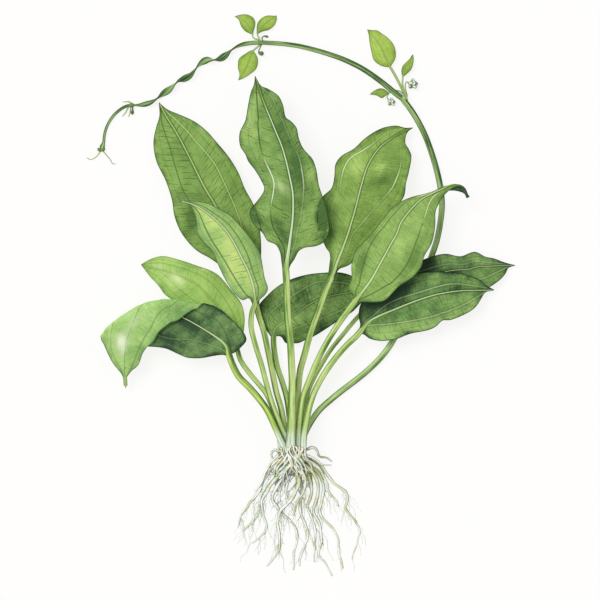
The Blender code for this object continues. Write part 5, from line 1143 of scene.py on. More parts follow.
def blade_finish(name, looks, tones, under=False):
    """Leaf skin: painted light and shade on green, cross veins, side veins, painted midrib shadow, thin
    dark margin.
    """
    finish = Finish(name)
    place = finish.place()
    across, vein, outer, edge, run, light = finish.marks("rib", "vein", "outer", "edge", "run", "light")
    rib = across.size()
    lines = looks.get("lines", 1.0)
    mottle = looks.get("mottle", 1.0)
    dark = darker(tones[0], 0.42)
    blotch = finish.noise(place, 0.06, 4.0, 0.6)
    grain = finish.noise(place, 0.7, 3.0, 0.6)
    wander = finish.noise(place, 0.12, 1.0)
    hatch = finish.streaks(run, across * 0.12, 0.0, 3.0, 0.6)
    streak = finish.streaks(run * 0.03, across * 0.75, 4.0, 3.0, 0.6)
    waves = finish.streaks(run * 0.06, 0.0, 9.0)
    # light: painted light and shade, in bands across the blade and soft patches, among them painted cast
    # shadows.
    tone = 0.5 + light * 0.6 + (blotch - 0.5) * (1.1 * mottle) + (grain - 0.5) * (0.45 * mottle)
    tone = tone + (hatch - 0.5) * (0.6 * lines) + (streak - 0.5) * (0.35 * lines)
    # Painted shade, with some light, in stretches along the margin.
    tone = tone - edge.below(0.5, 5.0) * (waves - 0.42) * (3.0 * lines)
    finish.colour = finish.tones(tone.clamped(), tones)
    shown = finish.noise(place, 0.07, 1.0).between(0.42, 0.62) * edge.between(2.0, 6.0)
    broken = finish.streaks(run * 0.22, across * 0.09, 7.0).between(0.5, 0.64)
    cross = (run + wander * 3.0).lines(CROSS_SPACING, 0.085) * shown * looks["crossing"]
    stroke = (run + wander * 4.0 + streak * 0.5).lines(HATCH_SPACING, 0.16)
    cross = cross + (1.0 - cross) * stroke * broken * (looks["hatching"] * lines)
    finish.lay(cross, dark)
    core = vein.below(0.3, 0.95)
    # flank: a line of painted shade beside each side vein; the upper side lays it where the vein is not
    # dark.
    flank = (vein - 1.15).size().below(0.0, 0.7) * (0.45 * lines)
    finish.lay(outer.below(0.1, 0.55) * 0.35 * lines, dark)
    if under:
        finish.lay(core * 0.5, dark)
        finish.lay(rib.below(0.2, 0.7) * 0.6, dark)
    else:
        # Side veins drawn pale as painted highlights where shine is positive, and dark where it is
        # negative.
        pale = finish.marks("shine")[0]
        shine = pale * (0.7 + wander * 0.6)
        flank = flank * pale.between(-0.1, 0.3)
        finish.lay(flank, dark)
        finish.lay(core * shine.clamped(), looks["vein"])
        finish.lay(core * (shine * -1.0).clamped(), dark)
        # Painted shade beside the midrib.
        beside = rib - looks["rib"][1] - 0.3
        finish.lay(beside.below(0.0, 1.1) * (looks.get("rib_shade", 0.6) * lines), dark)
    # Gleams: painted highlights in soft patches.
    gleam = finish.marks("gleam")[0] * (0.35 + streak * 1.3)
    finish.lay(gleam.clamped(), looks.get("gleam", GLEAM))
    finish.lay(edge.below(0.35, 1.3) * looks.get("rim", 0.92), dark)
    finish.set("Roughness", 0.46 + (grain - 0.5) * 0.2)
    return finish.done(grain * 0.35 + hatch * 0.5 - cross - flank * 0.5, 0.35, 0.0004)


def stem_finish(name, tones, base=None, rib=None, shade=0.0, face=0.0, spots=(), tail=None):
    """Petioles and stalk: streaked lengthwise, painted shade down the flanks, pale at the foot and on the
    blade.
    """
    finish = Finish(name)
    place = finish.place()
    side, top, run = finish.marks("side", "top", "run")
    streak = finish.streaks(side * 2.3, top * 2.3, run * 0.03, 3.0)
    fine = finish.streaks(side * 6.0, top * 6.0, run * 0.05)
    blotch = finish.noise(place, 0.045)
    flank = side.size()
    # side * shade paints one flank lighter and the other darker, as painted light and shade.
    tone = 0.70 + (streak - 0.5) * 2.7 + (fine - 0.5) * 1.5 + (blotch - 0.5) * 0.6 + side * shade
    # face paints one broad face of the twisted strip lighter and the other darker, as painted light and
    # shade.
    if face:
        tone = tone + top * face
    # Painted shade down both flanks.
    tone = tone - flank.between(0.35, 0.85) * 0.3
    # spots: darker stretches and painted highlights.
    for x, y, radius, amount in spots:
        points = {0: place, 1: (x - CROWN_X, CROWN_Y - y, 0.0)}
        away = finish.node("ShaderNodeVectorMath", {"operation": "DISTANCE"}, points, output=1)
        tone = tone + away.below(0.0, radius) * amount
    finish.colour = finish.tones(tone.clamped(), tones)
    if base:
        up = finish.part(place, 1)
        foot = (up + streak * 14.0).below(20.0, 42.0) * streak.between(0.25, 0.45)
        finish.lay(foot * 0.95, finish.tones((tone + 0.15).clamped(), base))
        finish.lay((up + fine * 8.0).below(10.0, 17.0) * 0.75, (0.60, 0.62, 0.27))
    if rib:
        # The midrib takes the pale vein colour, partly a painted highlight.
        blade = finish.marks("blade")[0]
        finish.lay(blade.clamped() * 0.9, rib)
        if tail:
            finish.lay((blade * -1.0).clamped() * 0.8, tail)
    # The painted shade ends in a thin dark line at the very flanks.
    finish.lay(flank.between(0.84, 0.98) * 0.85, darker(tones[0], 0.5))
    finish.set("Roughness", 0.45 + (streak - 0.5) * 0.2)
    return finish.done(streak + fine * 0.5, 0.3, 0.0004)


def root_finish(name, tones, pale=0.0):
    """Roots: painted light, white, along the top; painted shade down the flanks; green and straw patches;
    some rust.
    """
    finish = Finish(name, 0.6)
    place = finish.place()
    up = finish.upward()
    blotch = finish.noise(place, 0.09, 3.0)
    grain = finish.noise(place, 0.8, 3.0)
    flank, rusty = finish.marks("side", "rust")
    side = flank.size()
    reach = finish.part(place, 1)
    # Lighter where the face looks up, darker down both flanks and more so down one: painted light and
    # shade.
    tone = 0.3 + up.between(0.0, 0.7) * 0.85 + (grain - 0.5) * 0.6 + (blotch - 0.5) * 0.9 + pale
    tone = tone - side.between(0.55, 0.9) * 0.75 - flank.between(0.3, 0.7) * 0.5
    tone = tone + reach.between(-50.0, -15.0) * 0.33 - reach.between(-4.0, 8.0) * 0.38
    finish.colour = finish.tones(tone.clamped(), tones)
    straw = finish.noise(place, 0.06).between(0.48, 0.65) * 0.75
    green = finish.noise(place, 0.10).between(0.4, 0.6) * 0.6
    rust = rusty * blotch.between(0.3, 0.5)
    finish.lay(straw, (0.72, 0.72, 0.38), "MULTIPLY")
    finish.lay(green, (0.66, 0.80, 0.60), "MULTIPLY")
    finish.lay(rust * 0.6, (0.95, 0.82, 0.50), "MULTIPLY")
    finish.lay(rust * side.between(0.4, 0.75) * 0.8, (0.42, 0.28, 0.08))
    return finish.done(grain + blotch, 0.4, 0.0005)


def bud_finish(white):
    """White buds, green at the foot and along their seams, with a dark tip."""
    finish = Finish("flower_bud", 0.5)
    height, seam = finish.marks("height", "seam")
    grain = finish.noise(finish.place(), 1.2)
    # White where the face looks up, dark green where it looks sideways or down: painted light and shade.
    tone = 0.18 + finish.upward().between(0.3, 0.95) * 0.8 + (grain - 0.5) * 0.5
    finish.colour = finish.tones(tone.clamped(), (*BUD_TONES, tuple(white)))
    finish.lay(height.below(-0.5, 0.4) * 0.6, (0.30, 0.50, 0.10))
    finish.lay(seam.between(0.2, 0.65) * 0.9, (0.06, 0.12, 0.045))
    finish.lay(height.between(0.82, 0.95) * 0.9, (0.03, 0.05, 0.03))
    return finish.done(grain, 0.2, 0.0003)


def crown_finish(middle):
    """The crown between the roots: fibrous, its darkish tone partly painted shade for the gaps between the
    strands, and greener towards the petioles.
    """
    finish = Finish("crown", 0.7)
    place = finish.place()
    grain = finish.noise(place, 0.35, 4.0)
    side, top, run = finish.marks("side", "top", "run")
    fibre = finish.streaks(side * 9.0, top * 9.0, run * 0.2, 3.0)
    tone = (grain * 0.5 + fibre * 0.6).between(0.35, 0.8)
    finish.colour = finish.tones(tone, between(CROWN_TONES, middle))
    finish.lay((finish.part(place, 1) + grain * 3.0).between(9.0, 12.0) * 0.8, (0.40, 0.44, 0.17))
    return finish.done(grain + fibre, 0.5, 0.0008)


# ---- settings


def length_of(name, description, default):
    return bpy.props.FloatProperty(name=name, description=description, default=default, unit="LENGTH")


def number_of(name, description, default, least):
    return bpy.props.IntProperty(name=name, description=description, default=default, min=least)


def colour_of(name, description, default):
    return bpy.props.FloatVectorProperty(
        name=name, description=description, default=default, subtype="COLOR", min=0.0, max=1.0)


class LeafSettings(bpy.types.PropertyGroup):
    web: length_of("Blade thickness", "Thickness of the leaf skin between the veins", 0.0007)
    vein: length_of("Vein height", "How far the side veins stand out of the blade", 0.0003)
    pucker: length_of("Pucker", "How far the skin swells between the veins", 0.0005)


class StemSettings(bpy.types.PropertyGroup):
    petiole: colour_of("Petioles", "Middle green of the leaf stems", (0.335, 0.50, 0.13))
    stalk: colour_of("Flower stalk", "Middle green of the flower stalk", (0.25, 0.39, 0.12))
    strip: colour_of("Twisted stretch", "Middle green of the stalk's twisted stretch", (0.08, 0.165, 0.052))
    bract: colour_of("Bracts", "Middle green of bracts, tendrils and whorl stems", (0.30, 0.46, 0.12))
    bud: colour_of("Flower buds", "White of the flower buds", (0.88, 0.91, 0.84))


class RootSettings(bpy.types.PropertyGroup):
    pale: colour_of("Roots", "Pale top of the roots", (0.94, 0.95, 0.90))
    crown: colour_of("Crown", "Middle tone of the crown between the roots", (0.31, 0.34, 0.26))
    strands: number_of("Strands", "How many short roots cover the crown", 40, 1)
    rootlets: number_of("Rootlets", "How many fine rootlets fill the tuft", 165, 1)
    seed: number_of("Seed", "Picks another tuft of rootlets", 7, 0)


class StageSettings(bpy.types.PropertyGroup):
    tone: colour_of("Floor", "Colour of the pale floor", (0.943, 0.936, 0.925))
    distance: length_of("Camera height", "Height of the camera above the floor", 6.0)


def between(tones, middle):
    """Dark, middle and light, with the middle one a setting."""
    return (tones[0], tuple(middle), tones[1])


# ---- leaves


def add_blade(name, points, time, marks, small, materials, settings, thinner):
    """A sheet with raised side veins and skin puckered between them, made thick."""
    rib, vein, outer = np.abs(marks["rib"]), marks["vein"], marks["outer"]
    nearest = np.minimum(np.minimum(rib, vein), np.minimum(outer, marks["edge"]))
    raised = settings.vein / MM * (np.exp(-(vein / 0.8) ** 2) + 0.5 * np.exp(-(outer / 0.7) ** 2))
    pucker = settings.pucker / MM * (1.0 - np.exp(-nearest / 2.5))
    waves = 0.18 * np.cos(2.0 * math.pi * marks["run"] / CROSS_SPACING) * smoothstep(nearest, 0.5, 4.0)
    fade = np.clip(1.0 - time, 0.0, 1.0) ** 0.4 * smoothstep(time, 0.0, 0.08)
    lift = (raised + pucker + waves) * fade * small
    blade = shaped_grid(name + "_blade", points + surface_normals(points) * lift[..., None], marks)
    thick = blade.modifiers.new("Thickness", "SOLIDIFY")
    thick.thickness = settings.web * thinner
    thick.offset = 0.0
    thick.material_offset = 1
    for side in ("upper", "under"):
        blade.data.materials.append(materials[side])
    bpy.ops.object.modifier_apply(modifier=thick.name)
    return blade


def petiole_path(leaf, sink):
    """The petiole from inside the crown to the blade's foot, with its half widths and half depths."""
    path = smooth_path(leaf["petiole"])
    back = unit(path[0] - path[1])
    heel = [path[0] + back * sink * part - (0.0, 0.0, sink * dive) for part, dive in HEEL]
    path = np.concatenate([heel, path])
    share, _ = fractions_of(path)
    taper = np.minimum(1.0, 2.5 * share)
    wide, deep = (foot + (top - foot) * taper for foot, top in zip(leaf["foot"], leaf["top"]))
    return path, wide, deep


def rib_sizes(spine, leaf, looks):
    """The midrib's half widths and half depths along the blade, and where its stem-like tail begins."""
    top = leaf["top"]
    at = np.linspace(0.0, 1.0, len(spine))[1:-2]
    start, half, end = looks["rib"]
    start = min(start, top[0])
    wide = half + (end - half) * at + (start - half) * np.exp(-at / 0.10)
    wide = wide + (top[0] - start) * np.exp(-at / 0.02)
    deep = np.minimum(wide, 0.75 * half + 0.2 + (top[1] - half) * np.exp(-at / 0.12))
    if "tail" not in looks:
        return wide, deep, None
    tail, tail_half = looks["tail"]
    _, length = fractions_of(spine)
    ending = smoothstep(at * length, length - 1.6 * tail, length - tail)
    return wide + (tail_half - wide) * ending, deep + (0.8 * tail_half - deep) * ending, length - tail


def add_stem(name, spine, leaf, looks, small, sink, finish):
    """Petiole and midrib as one tapering tube, marked with where it runs on the blade."""
    petiole, wide, deep = petiole_path(leaf, sink)
    rib_wide, rib_deep, tail = rib_sizes(spine, leaf, looks)
    _, length = fractions_of(petiole)
    path = np.concatenate([petiole, spine[1:-2]])
    where, total = fractions_of(path)
    even = np.linspace(0.0, 1.0, max(12, int(total / (1.6 if small > 0.9 else 0.8))))
    wide = np.interp(even, where, np.concatenate([wide, rib_wide]))
    deep = np.interp(even, where, np.concatenate([deep, rib_deep]))
    onto = smoothstep(even * total, length + 1.0, length + 22.0)
    if "rib_fade" in looks:
        reach = (even * total - length) / (total - length)
        onto = onto * (1.0 - 2.0 * smoothstep(reach, *looks["rib_fade"]))
    if tail:
        onto = onto * (1.0 - 2.0 * smoothstep(even * total, length + tail - 4.0, length + tail))
    rings = section_rings(along(path, even), wide, deep, STEM_SIDES, ridges=5, ridge=0.03)
    return tube(name + "_stem", rings, finish, blade=onto)


def add_leaf(name, looks, materials, slot, settings):
    """One leaf: blade and stem, joined."""
    leaf = LEAVES[name]
    rosette = name in LEAF_LOOKS
    points, time = blade_surface(leaf, looks, LEAF_ROW if rosette else WHORL_ROW)
    marks = blade_marks(points, time, looks)
    small = min(1.0, marks["edge"].max() / 20.0)
    spine = points[:, MIDDLE] + surface_normals(points)[:, MIDDLE] * looks.get("rib_lift", 0.3)
    blade = add_blade(name, points, time, marks, small, materials, settings, 1.0 if rosette else 0.55)
    sink = BASE_SINK if rosette else WHORL_SINK
    stem = add_stem(name, spine, leaf, looks, small, sink, materials["stem"])
    ready(join([blade, stem], name + "_skin"), slot, name)


class PLANT_OT_leaves(bpy.types.Operator):
    """Ten rosette leaves, each with its petiole"""
    bl_idname = "plant.leaves"
    bl_label = "Rosette leaves"

    def execute(self, context):
        petiole = between(PETIOLE_TONES, context.scene.plant_stem.petiole)
        for name, looks in LEAF_LOOKS.items():
            tones = looks["tones"]
            under = looks.get("under_tones") or [darker(tone, 0.8) for tone in tones]
            tail = TAIL_GREEN if "tail" in looks else tones[1]
            materials = {
                "upper": blade_finish(name + "_upper", looks, tones),
                "under": blade_finish(name + "_under", looks, under, under=True),
                "stem": stem_finish(name + "_stem", looks.get("stem", petiole), BASE_TONES, looks["vein"],
                                    looks["lean"], tail=tail),
            }
            add_leaf(name, looks, materials, looks["slot"], context.scene.plant_leaf)
        return {"FINISHED"}


class PLANT_OT_whorl_leaves(bpy.types.Operator):
    """Small lime leaves at the stalk's first two whorls"""
    bl_idname = "plant.whorl_leaves"
    bl_label = "Whorl leaves"

    def execute(self, context):
        tones = WHORL_LOOKS["tones"]
        lime = between(LIME_TONES, context.scene.plant_stem.bract)
        materials = {
            "upper": blade_finish("whorl_upper", WHORL_LOOKS, tones),
            "under": blade_finish("whorl_under", WHORL_LOOKS, tones, under=True),
            "stem": stem_finish("whorl_stem", lime, rib=WHORL_LOOKS["vein"]),
        }
        for name in LEAVES:
            if name not in LEAF_LOOKS:
                add_leaf(name, WHORL_LOOKS, materials, "whorl_leaf", context.scene.plant_leaf)
        return {"FINISHED"}


# ---- stalk


def along_sizes(points, sizes, at):
    """Sizes given at a path's own points, read at fractions of its length."""
    where, _ = fractions_of(smooth_path(points, 1))
    return np.interp(at, where, sizes)


def stalk_length(name, path, wide, deep, finish, turns=0.0):
    """One length of the stalk between two whorls."""
    rings = section_rings(path, wide, deep, STEM_SIDES, ridges=6, ridge=0.035, turns=turns)
    ready(tube(name + "_skin", rings, finish), "stalk", name)


def add_knot(name, place, radius, turn, finish):
    """The swelling of the stalk where a whorl stands: an uneven ball drawn out along the stalk."""
    deselect()
    bpy.ops.mesh.primitive_ico_sphere_add(
        subdivisions=4, radius=radius * MM, location=metres(place), scale=(1.0, 1.35, 0.95),
        rotation=(0.0, 0.0, math.radians(turn)))
    knot = bpy.context.active_object
    knot.name = name
    bpy.ops.object.transform_apply(location=True, rotation=True, scale=True)
    with edit_all():
        bpy.ops.transform.vertex_random(offset=0.1 * MM, seed=3)
        bpy.ops.mesh.vertices_smooth(factor=0.5, repeat=2)
    knot.data.materials.append(finish)
    ready(knot, "stalk")


class PLANT_OT_stalk(bpy.types.Operator):
    """The flower stalk: round, then arching, then flattened and twisted, then a thin round end"""
    bl_idname = "plant.stalk"
    bl_label = "Flower stalk"

    def execute(self, context):
        settings = context.scene.plant_stem
        stalk_tones = between(STALK_TONES, settings.stalk)
        strip_tones = between(STRIP_TONES, settings.strip)
        # The stalk: one flank painted lighter and the other darker, darker stretches and painted
        # highlights; the strip: one face painted lighter and the other darker, and painted highlights.
        green = stem_finish("stalk", stalk_tones, BASE_TONES, shade=0.4, spots=STALK_SPOTS)
        strip = stem_finish("strip", strip_tones, shade=0.15, face=0.33, spots=STRIP_HIGHLIGHTS)
        for name, points, ends, sink in (
            ("stalk_lower", STALK_LOWER, STALK_LOWER_HALF, BASE_SINK),
            ("stalk_arch", STALK_ARCH, STALK_ARCH_HALF, WHORL_SINK),
        ):
            path = longer(evenly(points, 180), sink, WHORL_SINK)
            wide = np.linspace(*ends, len(path))
            stalk_length(name, path, wide, wide, green)
        path = longer(evenly(STALK_TWIST, 180), WHORL_SINK, WHORL_SINK)
        quarter = math.pi / 2.0
        edges = [quarter + math.pi * k for k in range(len(TWIST_EDGE_X) - 1)]
        turns = np.interp(path[:, 0], TWIST_EDGE_X, [*edges, edges[-1] + quarter])
        flat = ramp(path[:, 0], *TWIST_ROUND_X)
        end = ramp(path[:, 0], *TWIST_TAPER_X)
        wide = TWIST_ROUND_HALF + (TWIST_WIDE - TWIST_ROUND_HALF) * flat
        wide = wide + (TWIST_END_HALF - wide) * end
        deep = TWIST_ROUND_HALF + (TWIST_NARROW - TWIST_ROUND_HALF) * flat
        stalk_length("stalk_twist", path, wide, deep, strip, turns)
        path = longer(evenly(STALK_END, 60), WHORL_SINK, 0.5)
        wide = np.pad(along_sizes(STALK_END, STALK_END_HALF, np.linspace(0.0, 1.0, 60)), 1, mode="edge")
        stalk_length("stalk_end", path, wide, wide, green)
        first = stem_finish("knot", between(LIME_TONES, settings.bract))
        others = stem_finish("tip_knot", KNOT_TONES)
        for number, (x, y, z, radius, turn) in enumerate(KNOTS):
            add_knot(f"knot_{number + 1}", (x, y, z), radius, turn, others if number else first)
        return {"FINISHED"}


# ---- buds and bracts


def bud_model(finish):
    """One bud at the origin, a metre in radius: a ball drawn out to a blunt tip, in three lobes."""
    deselect()
    bpy.ops.mesh.primitive_uv_sphere_add(segments=18, ring_count=12, radius=1.0)
    bud = bpy.context.active_object
    mesh = bud.data
    height, seam = (mesh.attributes.new(name, "FLOAT", "POINT") for name in ("height", "seam"))
    for vertex in mesh.vertices:
        x, y, z = vertex.co
        lobe = math.cos(3.0 * math.atan2(y, x))
        height.data[vertex.index].value = z
        seam.data[vertex.index].value = -lobe * (1.0 - z * z)
        wide = (1.0 + 0.10 * lobe) * (1.0 - 0.28 * max(z, 0.0))
        vertex.co = (x * wide, y * wide, z * (1.22 if z > 0 else 1.0))
    mesh.materials.append(finish)
    return bud


def bud_cluster(name, centre, spread, radius, count, model):
    """Copies of the bud set round a middle, each facing away from it."""
    golden = math.pi * (3.0 - math.sqrt(5.0))
    middle = Vector(metres(centre))
    buds = []
    for k in range(count):
        z = 0.9 - 1.5 * (k + 0.3) / count
        ring = math.sqrt(max(0.0, 1.0 - z * z))
        facing = Vector((ring * math.cos(golden * k + 0.6), ring * math.sin(golden * k + 0.6), z))
        bud = model.copy()
        bud.data = model.data.copy()
        bpy.context.collection.objects.link(bud)
        turn = facing.to_track_quat("Z", "Y").to_matrix().to_4x4()
        place = Matrix.Translation(middle + facing * spread * MM)
        bud.data.transform(place @ turn @ Matrix.Scale(radius * MM, 4))
        buds.append(bud)
    return join(buds, name)


class PLANT_OT_buds(bpy.types.Operator):
    """Bud clusters, bracts and tendrils of the whorls and the tip"""
    bl_idname = "plant.buds"
    bl_label = "Buds and bracts"

    def execute(self, context):
        settings = context.scene.plant_stem
        lime = stem_finish("bract", between(LIME_TONES, settings.bract))
        brown = stem_finish("small_bud", KNOT_TONES)
        model = bud_model(bud_finish(settings.bud))
        for name, (points, widths) in SMALL_PIECES.items():
            slot = "bud" if "bud" in name else "bract"
            path = smooth_path(points)
            share, _ = fractions_of(path)
            wide = along_sizes(points, widths, share)
            cluster = CLUSTERS.get(name)
            if cluster:
                kept = share <= cluster[0]
                path, wide = path[kept], np.minimum(wide[kept], 0.7)
            path = longer(path, 1.5, 0.1)
            wide = np.pad(wide, 1, mode="edge")
            finish = brown if slot == "bud" and not cluster else lime
            piece = tube(name + "_skin", section_rings(path, wide, wide, 12), finish)
            if cluster:
                piece = join([piece, bud_cluster(name + "_buds", *cluster[1:], model)], name + "_skin")
            ready(piece, slot, name)
        bpy.data.objects.remove(model)
        return {"FINISHED"}


# ---- crown and roots


def crown_top(x, y):
    """Height of the crown's upper side, or 0 beyond it."""
    rows, wides, highs = np.transpose(CROWN_RINGS)
    wide, high = (np.interp(y, rows, sizes, left=0.0, right=0.0) for sizes in (wides, highs))
    off = (x - CROWN_X) / wide if wide > 0.0 else 2.0
    return high * (CROWN_SINK + math.sqrt(1.0 - off * off)) if abs(off) < 1.0 else 0.0


class PLANT_OT_crown(bpy.types.Operator):
    """The crown, from which leaves, stalk and roots grow"""
    bl_idname = "plant.crown"
    bl_label = "Crown"

    def execute(self, context):
        y, wide, high = smooth_path(CROWN_RINGS, 6).T
        path = np.stack([np.full(len(y), CROWN_X), y, high * CROWN_SINK], axis=1)
        rings = section_rings(path, wide, high, 48, ridges=9, ridge=0.02)
        rings[..., 2] = np.maximum(rings[..., 2], 0.0)
        finish = crown_finish(context.scene.plant_root.crown)
        ready(tube("crown_skin", rings, finish), "crown", "crown")
        return {"FINISHED"}


def root_path(number, points):
    """A main root's smooth path with a slow sideways wander, none at its start."""
    path = smooth_path(points)
    _, length = fractions_of(path)
    path = along(path, np.linspace(0.0, 1.0, max(24, int(length))))
    chance = random.Random(number)
    phases = [chance.uniform(0.0, 2.0 * math.pi) for _ in range(3)]
    share, length = fractions_of(path)
    off = sum(np.sin(share * length / wave + phase) for wave, phase in zip((3.1, 5.3, 8.7), phases)) / 3.0
    side = sideways(np.gradient(path, axis=0))
    return path + side * (off * 0.75 * np.minimum(1.0, 4.0 * share))[:, None]


class PLANT_OT_roots(bpy.types.Operator):
    """The main roots, each in place of its solid"""
    bl_idname = "plant.roots"
    bl_label = "Roots"

    def execute(self, context):
        white = root_finish("root", (*ROOT_TONES, tuple(context.scene.plant_root.pale)), -0.08)
        grey = root_finish("loop", LOOP_TONES)
        for number, (name, (points, ends)) in enumerate(ROOTS.items()):
            stout, finish = (1.5, grey) if "loop" in name else (1.15, white)
            path = root_path(number, points)
            share, _ = fractions_of(path)
            wide = (ends[0] + (ends[1] - ends[0]) * share) * (1.0 + 0.1 * np.sin(share * 40.0 + number))
            rust = (1.0 - smoothstep(share, 0.05, 0.25)) * (number % 3 == 0)
            rings = section_rings(path, wide * stout, wide * stout, 12)
            ready(tube(name + "_skin", rings, finish, rust=rust), "root", name)
        return {"FINISHED"}


def petiole_top(x):
    """Height of the highest petiole foot over a column of the sheet, or 0 where there is none."""
    top = 0.0
    for name in LEAF_LOOKS:
        middle, _, z = LEAVES[name]["petiole"][0]
        wide, deep = LEAVES[name]["foot"]
        off = abs(x - middle) / wide
        if off < 1.0:
            top = max(top, z + deep * math.sqrt(1.0 - off * off))
    return top


def strand_path(chance, spread, lower, length):
    """A short root that leaves the crown under the petioles, arches over it and droops."""
    x = CROWN_X + spread * 13.5
    y = 447.5 + 3.0 * abs(spread) + lower
    z = crown_top(x, y) - 1.5
    fan = spread * 0.45 + chance.uniform(-0.25, 0.25)
    phase, swing = chance.uniform(0.0, 6.3), chance.uniform(0.4, 0.9)
    points = [(x, y, z)]
    if not lower:
        y -= chance.uniform(0.0, 2.0)
        z = max(z + 3.0, petiole_top(x))
        points = [(x, y, z - 1.5), (x, y - 1.4, z + 0.2), (x + 0.5, y - 1.2, z + 0.9)]
    for k in range(int(length / STRAND_STEP)):
        angle = fan + swing * math.sin(phase + k * STRAND_STEP / 6.5)
        x += STRAND_STEP * math.sin(angle)
        y += STRAND_STEP * math.cos(angle)
        rest = crown_top(x, y) + 0.9 + (0.9 if k < 4 else 0.0)
        z = max(rest, z - 1.25 * STRAND_STEP * min(1.0, k / 8.0), 1.3)
        points.append((x, y, min(z, rest + 14.0)))
    path = smooth_path(points, 2)
    path[:, 2] = running_mean(path[:, 2])
    return path


def rootlet_path(chance, parent):
    """A fine root that leaves its parent at an angle and bends down the sheet, or None if it is outside."""
    start = int(chance.uniform(0.3, 1.0) * (len(parent) - 2))
    if parent[start][1] < ROOTLET_TOP:
        return None
    heading = parent[start + 1] - parent[start]
    angle = math.atan2(heading[0], heading[1]) + chance.choice((-1, 1)) * chance.uniform(0.2, 0.7)
    step = chance.uniform(12.0, 36.0) / ROOTLET_STEPS
    phase = chance.uniform(0.0, 6.3)
    x, y, z = parent[start]
    points = [(x, y, z)]
    for k in range(ROOTLET_STEPS):
        bend = 0.6 * angle * (1.0 - 0.5 * k / ROOTLET_STEPS) + 0.35 * math.sin(phase + k * 0.9)
        x += step * math.sin(bend)
        y += step * math.cos(bend)
        z = max(0.45, z - 0.12 * step)
        points.append((x, y, z))
    low, high = (np.array(corner[:2]) for corner in CAD_BOX)
    places = metres(points)[:, :2]
    outside = (places < low + MM).any() or (places > high).any()
    return None if outside else np.array(points)


class PLANT_OT_strands(bpy.types.Operator):
    """Short roots that cover the crown, and fine rootlets that branch off the main roots"""
    bl_idname = "plant.strands"
    bl_label = "Strands and rootlets"

    def execute(self, context):
        settings = context.scene.plant_root
        chance = random.Random(settings.seed)
        tones = (*ROOT_TONES, tuple(settings.pale))
        thick = root_finish("strand", tones, -0.02)
        fine = root_finish("rootlet", tones, 0.25)
        paths = [root_path(number, points) for number, (points, _) in enumerate(ROOTS.values())]
        pieces = []
        for k in range(settings.strands):
            spread = 2.0 * (k + 0.5) / settings.strands - 1.0 + chance.uniform(-0.06, 0.06)
            lower = (0.0, 7.0, 14.0)[k % 3]
            length = chance.choice(STRAND_LENGTHS)
            path = strand_path(chance, spread * (1.0 - lower / 40.0), lower, length)
            share, _ = fractions_of(path)
            wide = chance.uniform(0.8, 1.4) * (1.0 - 0.6 * share)
            wide = wide * (0.75 + 0.25 * smoothstep(share, 0.0, 0.1))
            rust = 0.35 * (1.0 - smoothstep(share, 0.0, 0.2))
            if k % 5 == 1:
                rust = rust + 1.0 - smoothstep(share, 0.4, 0.9)
            pieces.append(tube("strand", section_rings(path, wide, wide, 10), thick, rust=rust))
            paths.append(path)
        ready(join(pieces, "crown_strands"), "root")
        pieces = []
        while len(pieces) < settings.rootlets:
            parent = chance.choice(paths if len(pieces) % 6 == 0 else paths[:len(ROOTS)])
            path = rootlet_path(chance, parent)
            if path is None:
                continue
            share, _ = fractions_of(path)
            wide = chance.uniform(0.22, 0.4) * (1.0 - 0.5 * share)
            pieces.append(tube("rootlet", section_rings(path, wide, wide, 6), fine))
        ready(join(pieces, "rootlets"), "root")
        return {"FINISHED"}


# ---- stage, panel and main


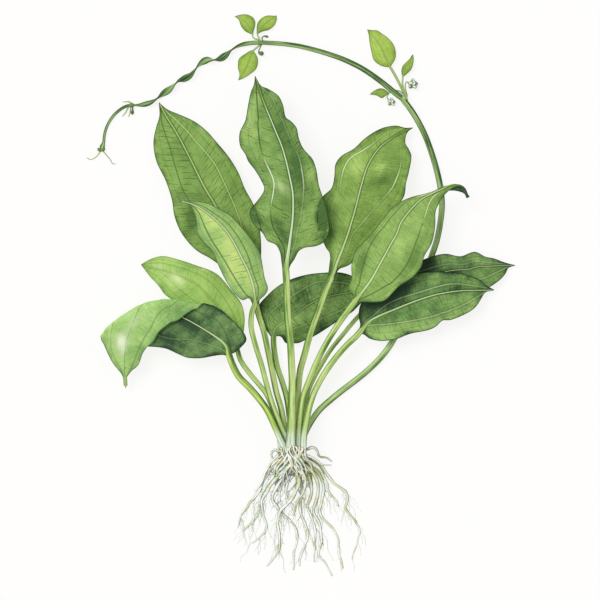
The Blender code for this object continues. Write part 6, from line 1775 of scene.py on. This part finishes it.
class PLANT_OT_stage(bpy.types.Operator):
    """Pale floor, soft light and the camera straight above"""
    bl_idname = "plant.stage"
    bl_label = "Stage"

    def execute(self, context):
        settings = context.scene.plant_stage
        tone = tuple(settings.tone)
        deselect()
        bpy.ops.mesh.primitive_circle_add(vertices=96, radius=14.0, fill_type="NGON")
        floor = bpy.context.active_object
        floor.name = "floor"
        with edit_all():
            bpy.ops.mesh.region_to_loop()
            bpy.ops.mesh.extrude_edges_move(TRANSFORM_OT_translate={"value": (0.0, 0.0, 2.0)})
        finish = Finish("floor", 0.95, 0.0)
        finish.set("Base Color", (*darker(tone, 0.16), 1.0))
        finish.set("Emission Color", (*tone, 1.0))
        finish.set("Emission Strength", 0.89)
        floor.data.materials.append(finish.material)
        world = bpy.data.worlds.new("soft_sky")
        world.use_nodes = True
        sky = world.node_tree.nodes["Background"].inputs
        sky["Color"].default_value = (1.0, 1.0, 1.0, 1.0)
        sky["Strength"].default_value = 0.6
        context.scene.world = world
        bpy.ops.object.light_add(type="SUN", location=(-1.0, 1.0, 3.0))
        sun = bpy.context.active_object
        sun.data.energy = 1.75
        sun.data.angle = math.radians(35.0)
        sun.rotation_euler = Vector((1.0, -0.8, -1.9)).to_track_quat("-Z", "Y").to_euler()
        place = metres((*SHEET_CENTRE, settings.distance / MM))
        bpy.ops.object.camera_add(location=place, rotation=(0.0, 0.0, 0.0))
        camera = bpy.context.active_object
        camera.data.sensor_width = 36.0
        camera.data.lens = 36.0 * settings.distance / (SHEET_SIDE * MM)
        context.scene.camera = camera
        context.scene.view_settings.view_transform = "Standard"
        return {"FINISHED"}


class PLANT_PT_panel(bpy.types.Panel):
    bl_label = "Rosette water plant"
    bl_idname = "PLANT_PT_panel"
    bl_space_type = "VIEW_3D"
    bl_region_type = "UI"
    bl_category = "Plant"

    def draw(self, context):
        for group in SETTINGS:
            settings = getattr(context.scene, group)
            for key in settings.__annotations__:
                self.layout.prop(settings, key)
        for operator in OPERATORS:
            self.layout.operator(operator.bl_idname)


SETTINGS = {"plant_leaf": LeafSettings, "plant_stem": StemSettings, "plant_root": RootSettings,
            "plant_stage": StageSettings}
OPERATORS = (PLANT_OT_leaves, PLANT_OT_whorl_leaves, PLANT_OT_stalk, PLANT_OT_buds, PLANT_OT_crown,
             PLANT_OT_roots, PLANT_OT_strands, PLANT_OT_stage)


def register():
    for group, kind in SETTINGS.items():
        bpy.utils.register_class(kind)
        setattr(bpy.types.Scene, group, bpy.props.PointerProperty(type=kind))
    for kind in (*OPERATORS, PLANT_PT_panel):
        bpy.utils.register_class(kind)


def unregister():
    for kind in (PLANT_PT_panel, *reversed(OPERATORS)):
        bpy.utils.unregister_class(kind)
    for group, kind in SETTINGS.items():
        delattr(bpy.types.Scene, group)
        bpy.utils.unregister_class(kind)


def main():
    register()
    for operator in OPERATORS:
        group, name = operator.bl_idname.split(".")
        getattr(getattr(bpy.ops, group), name)()


if __name__ == "__main__":
    main()
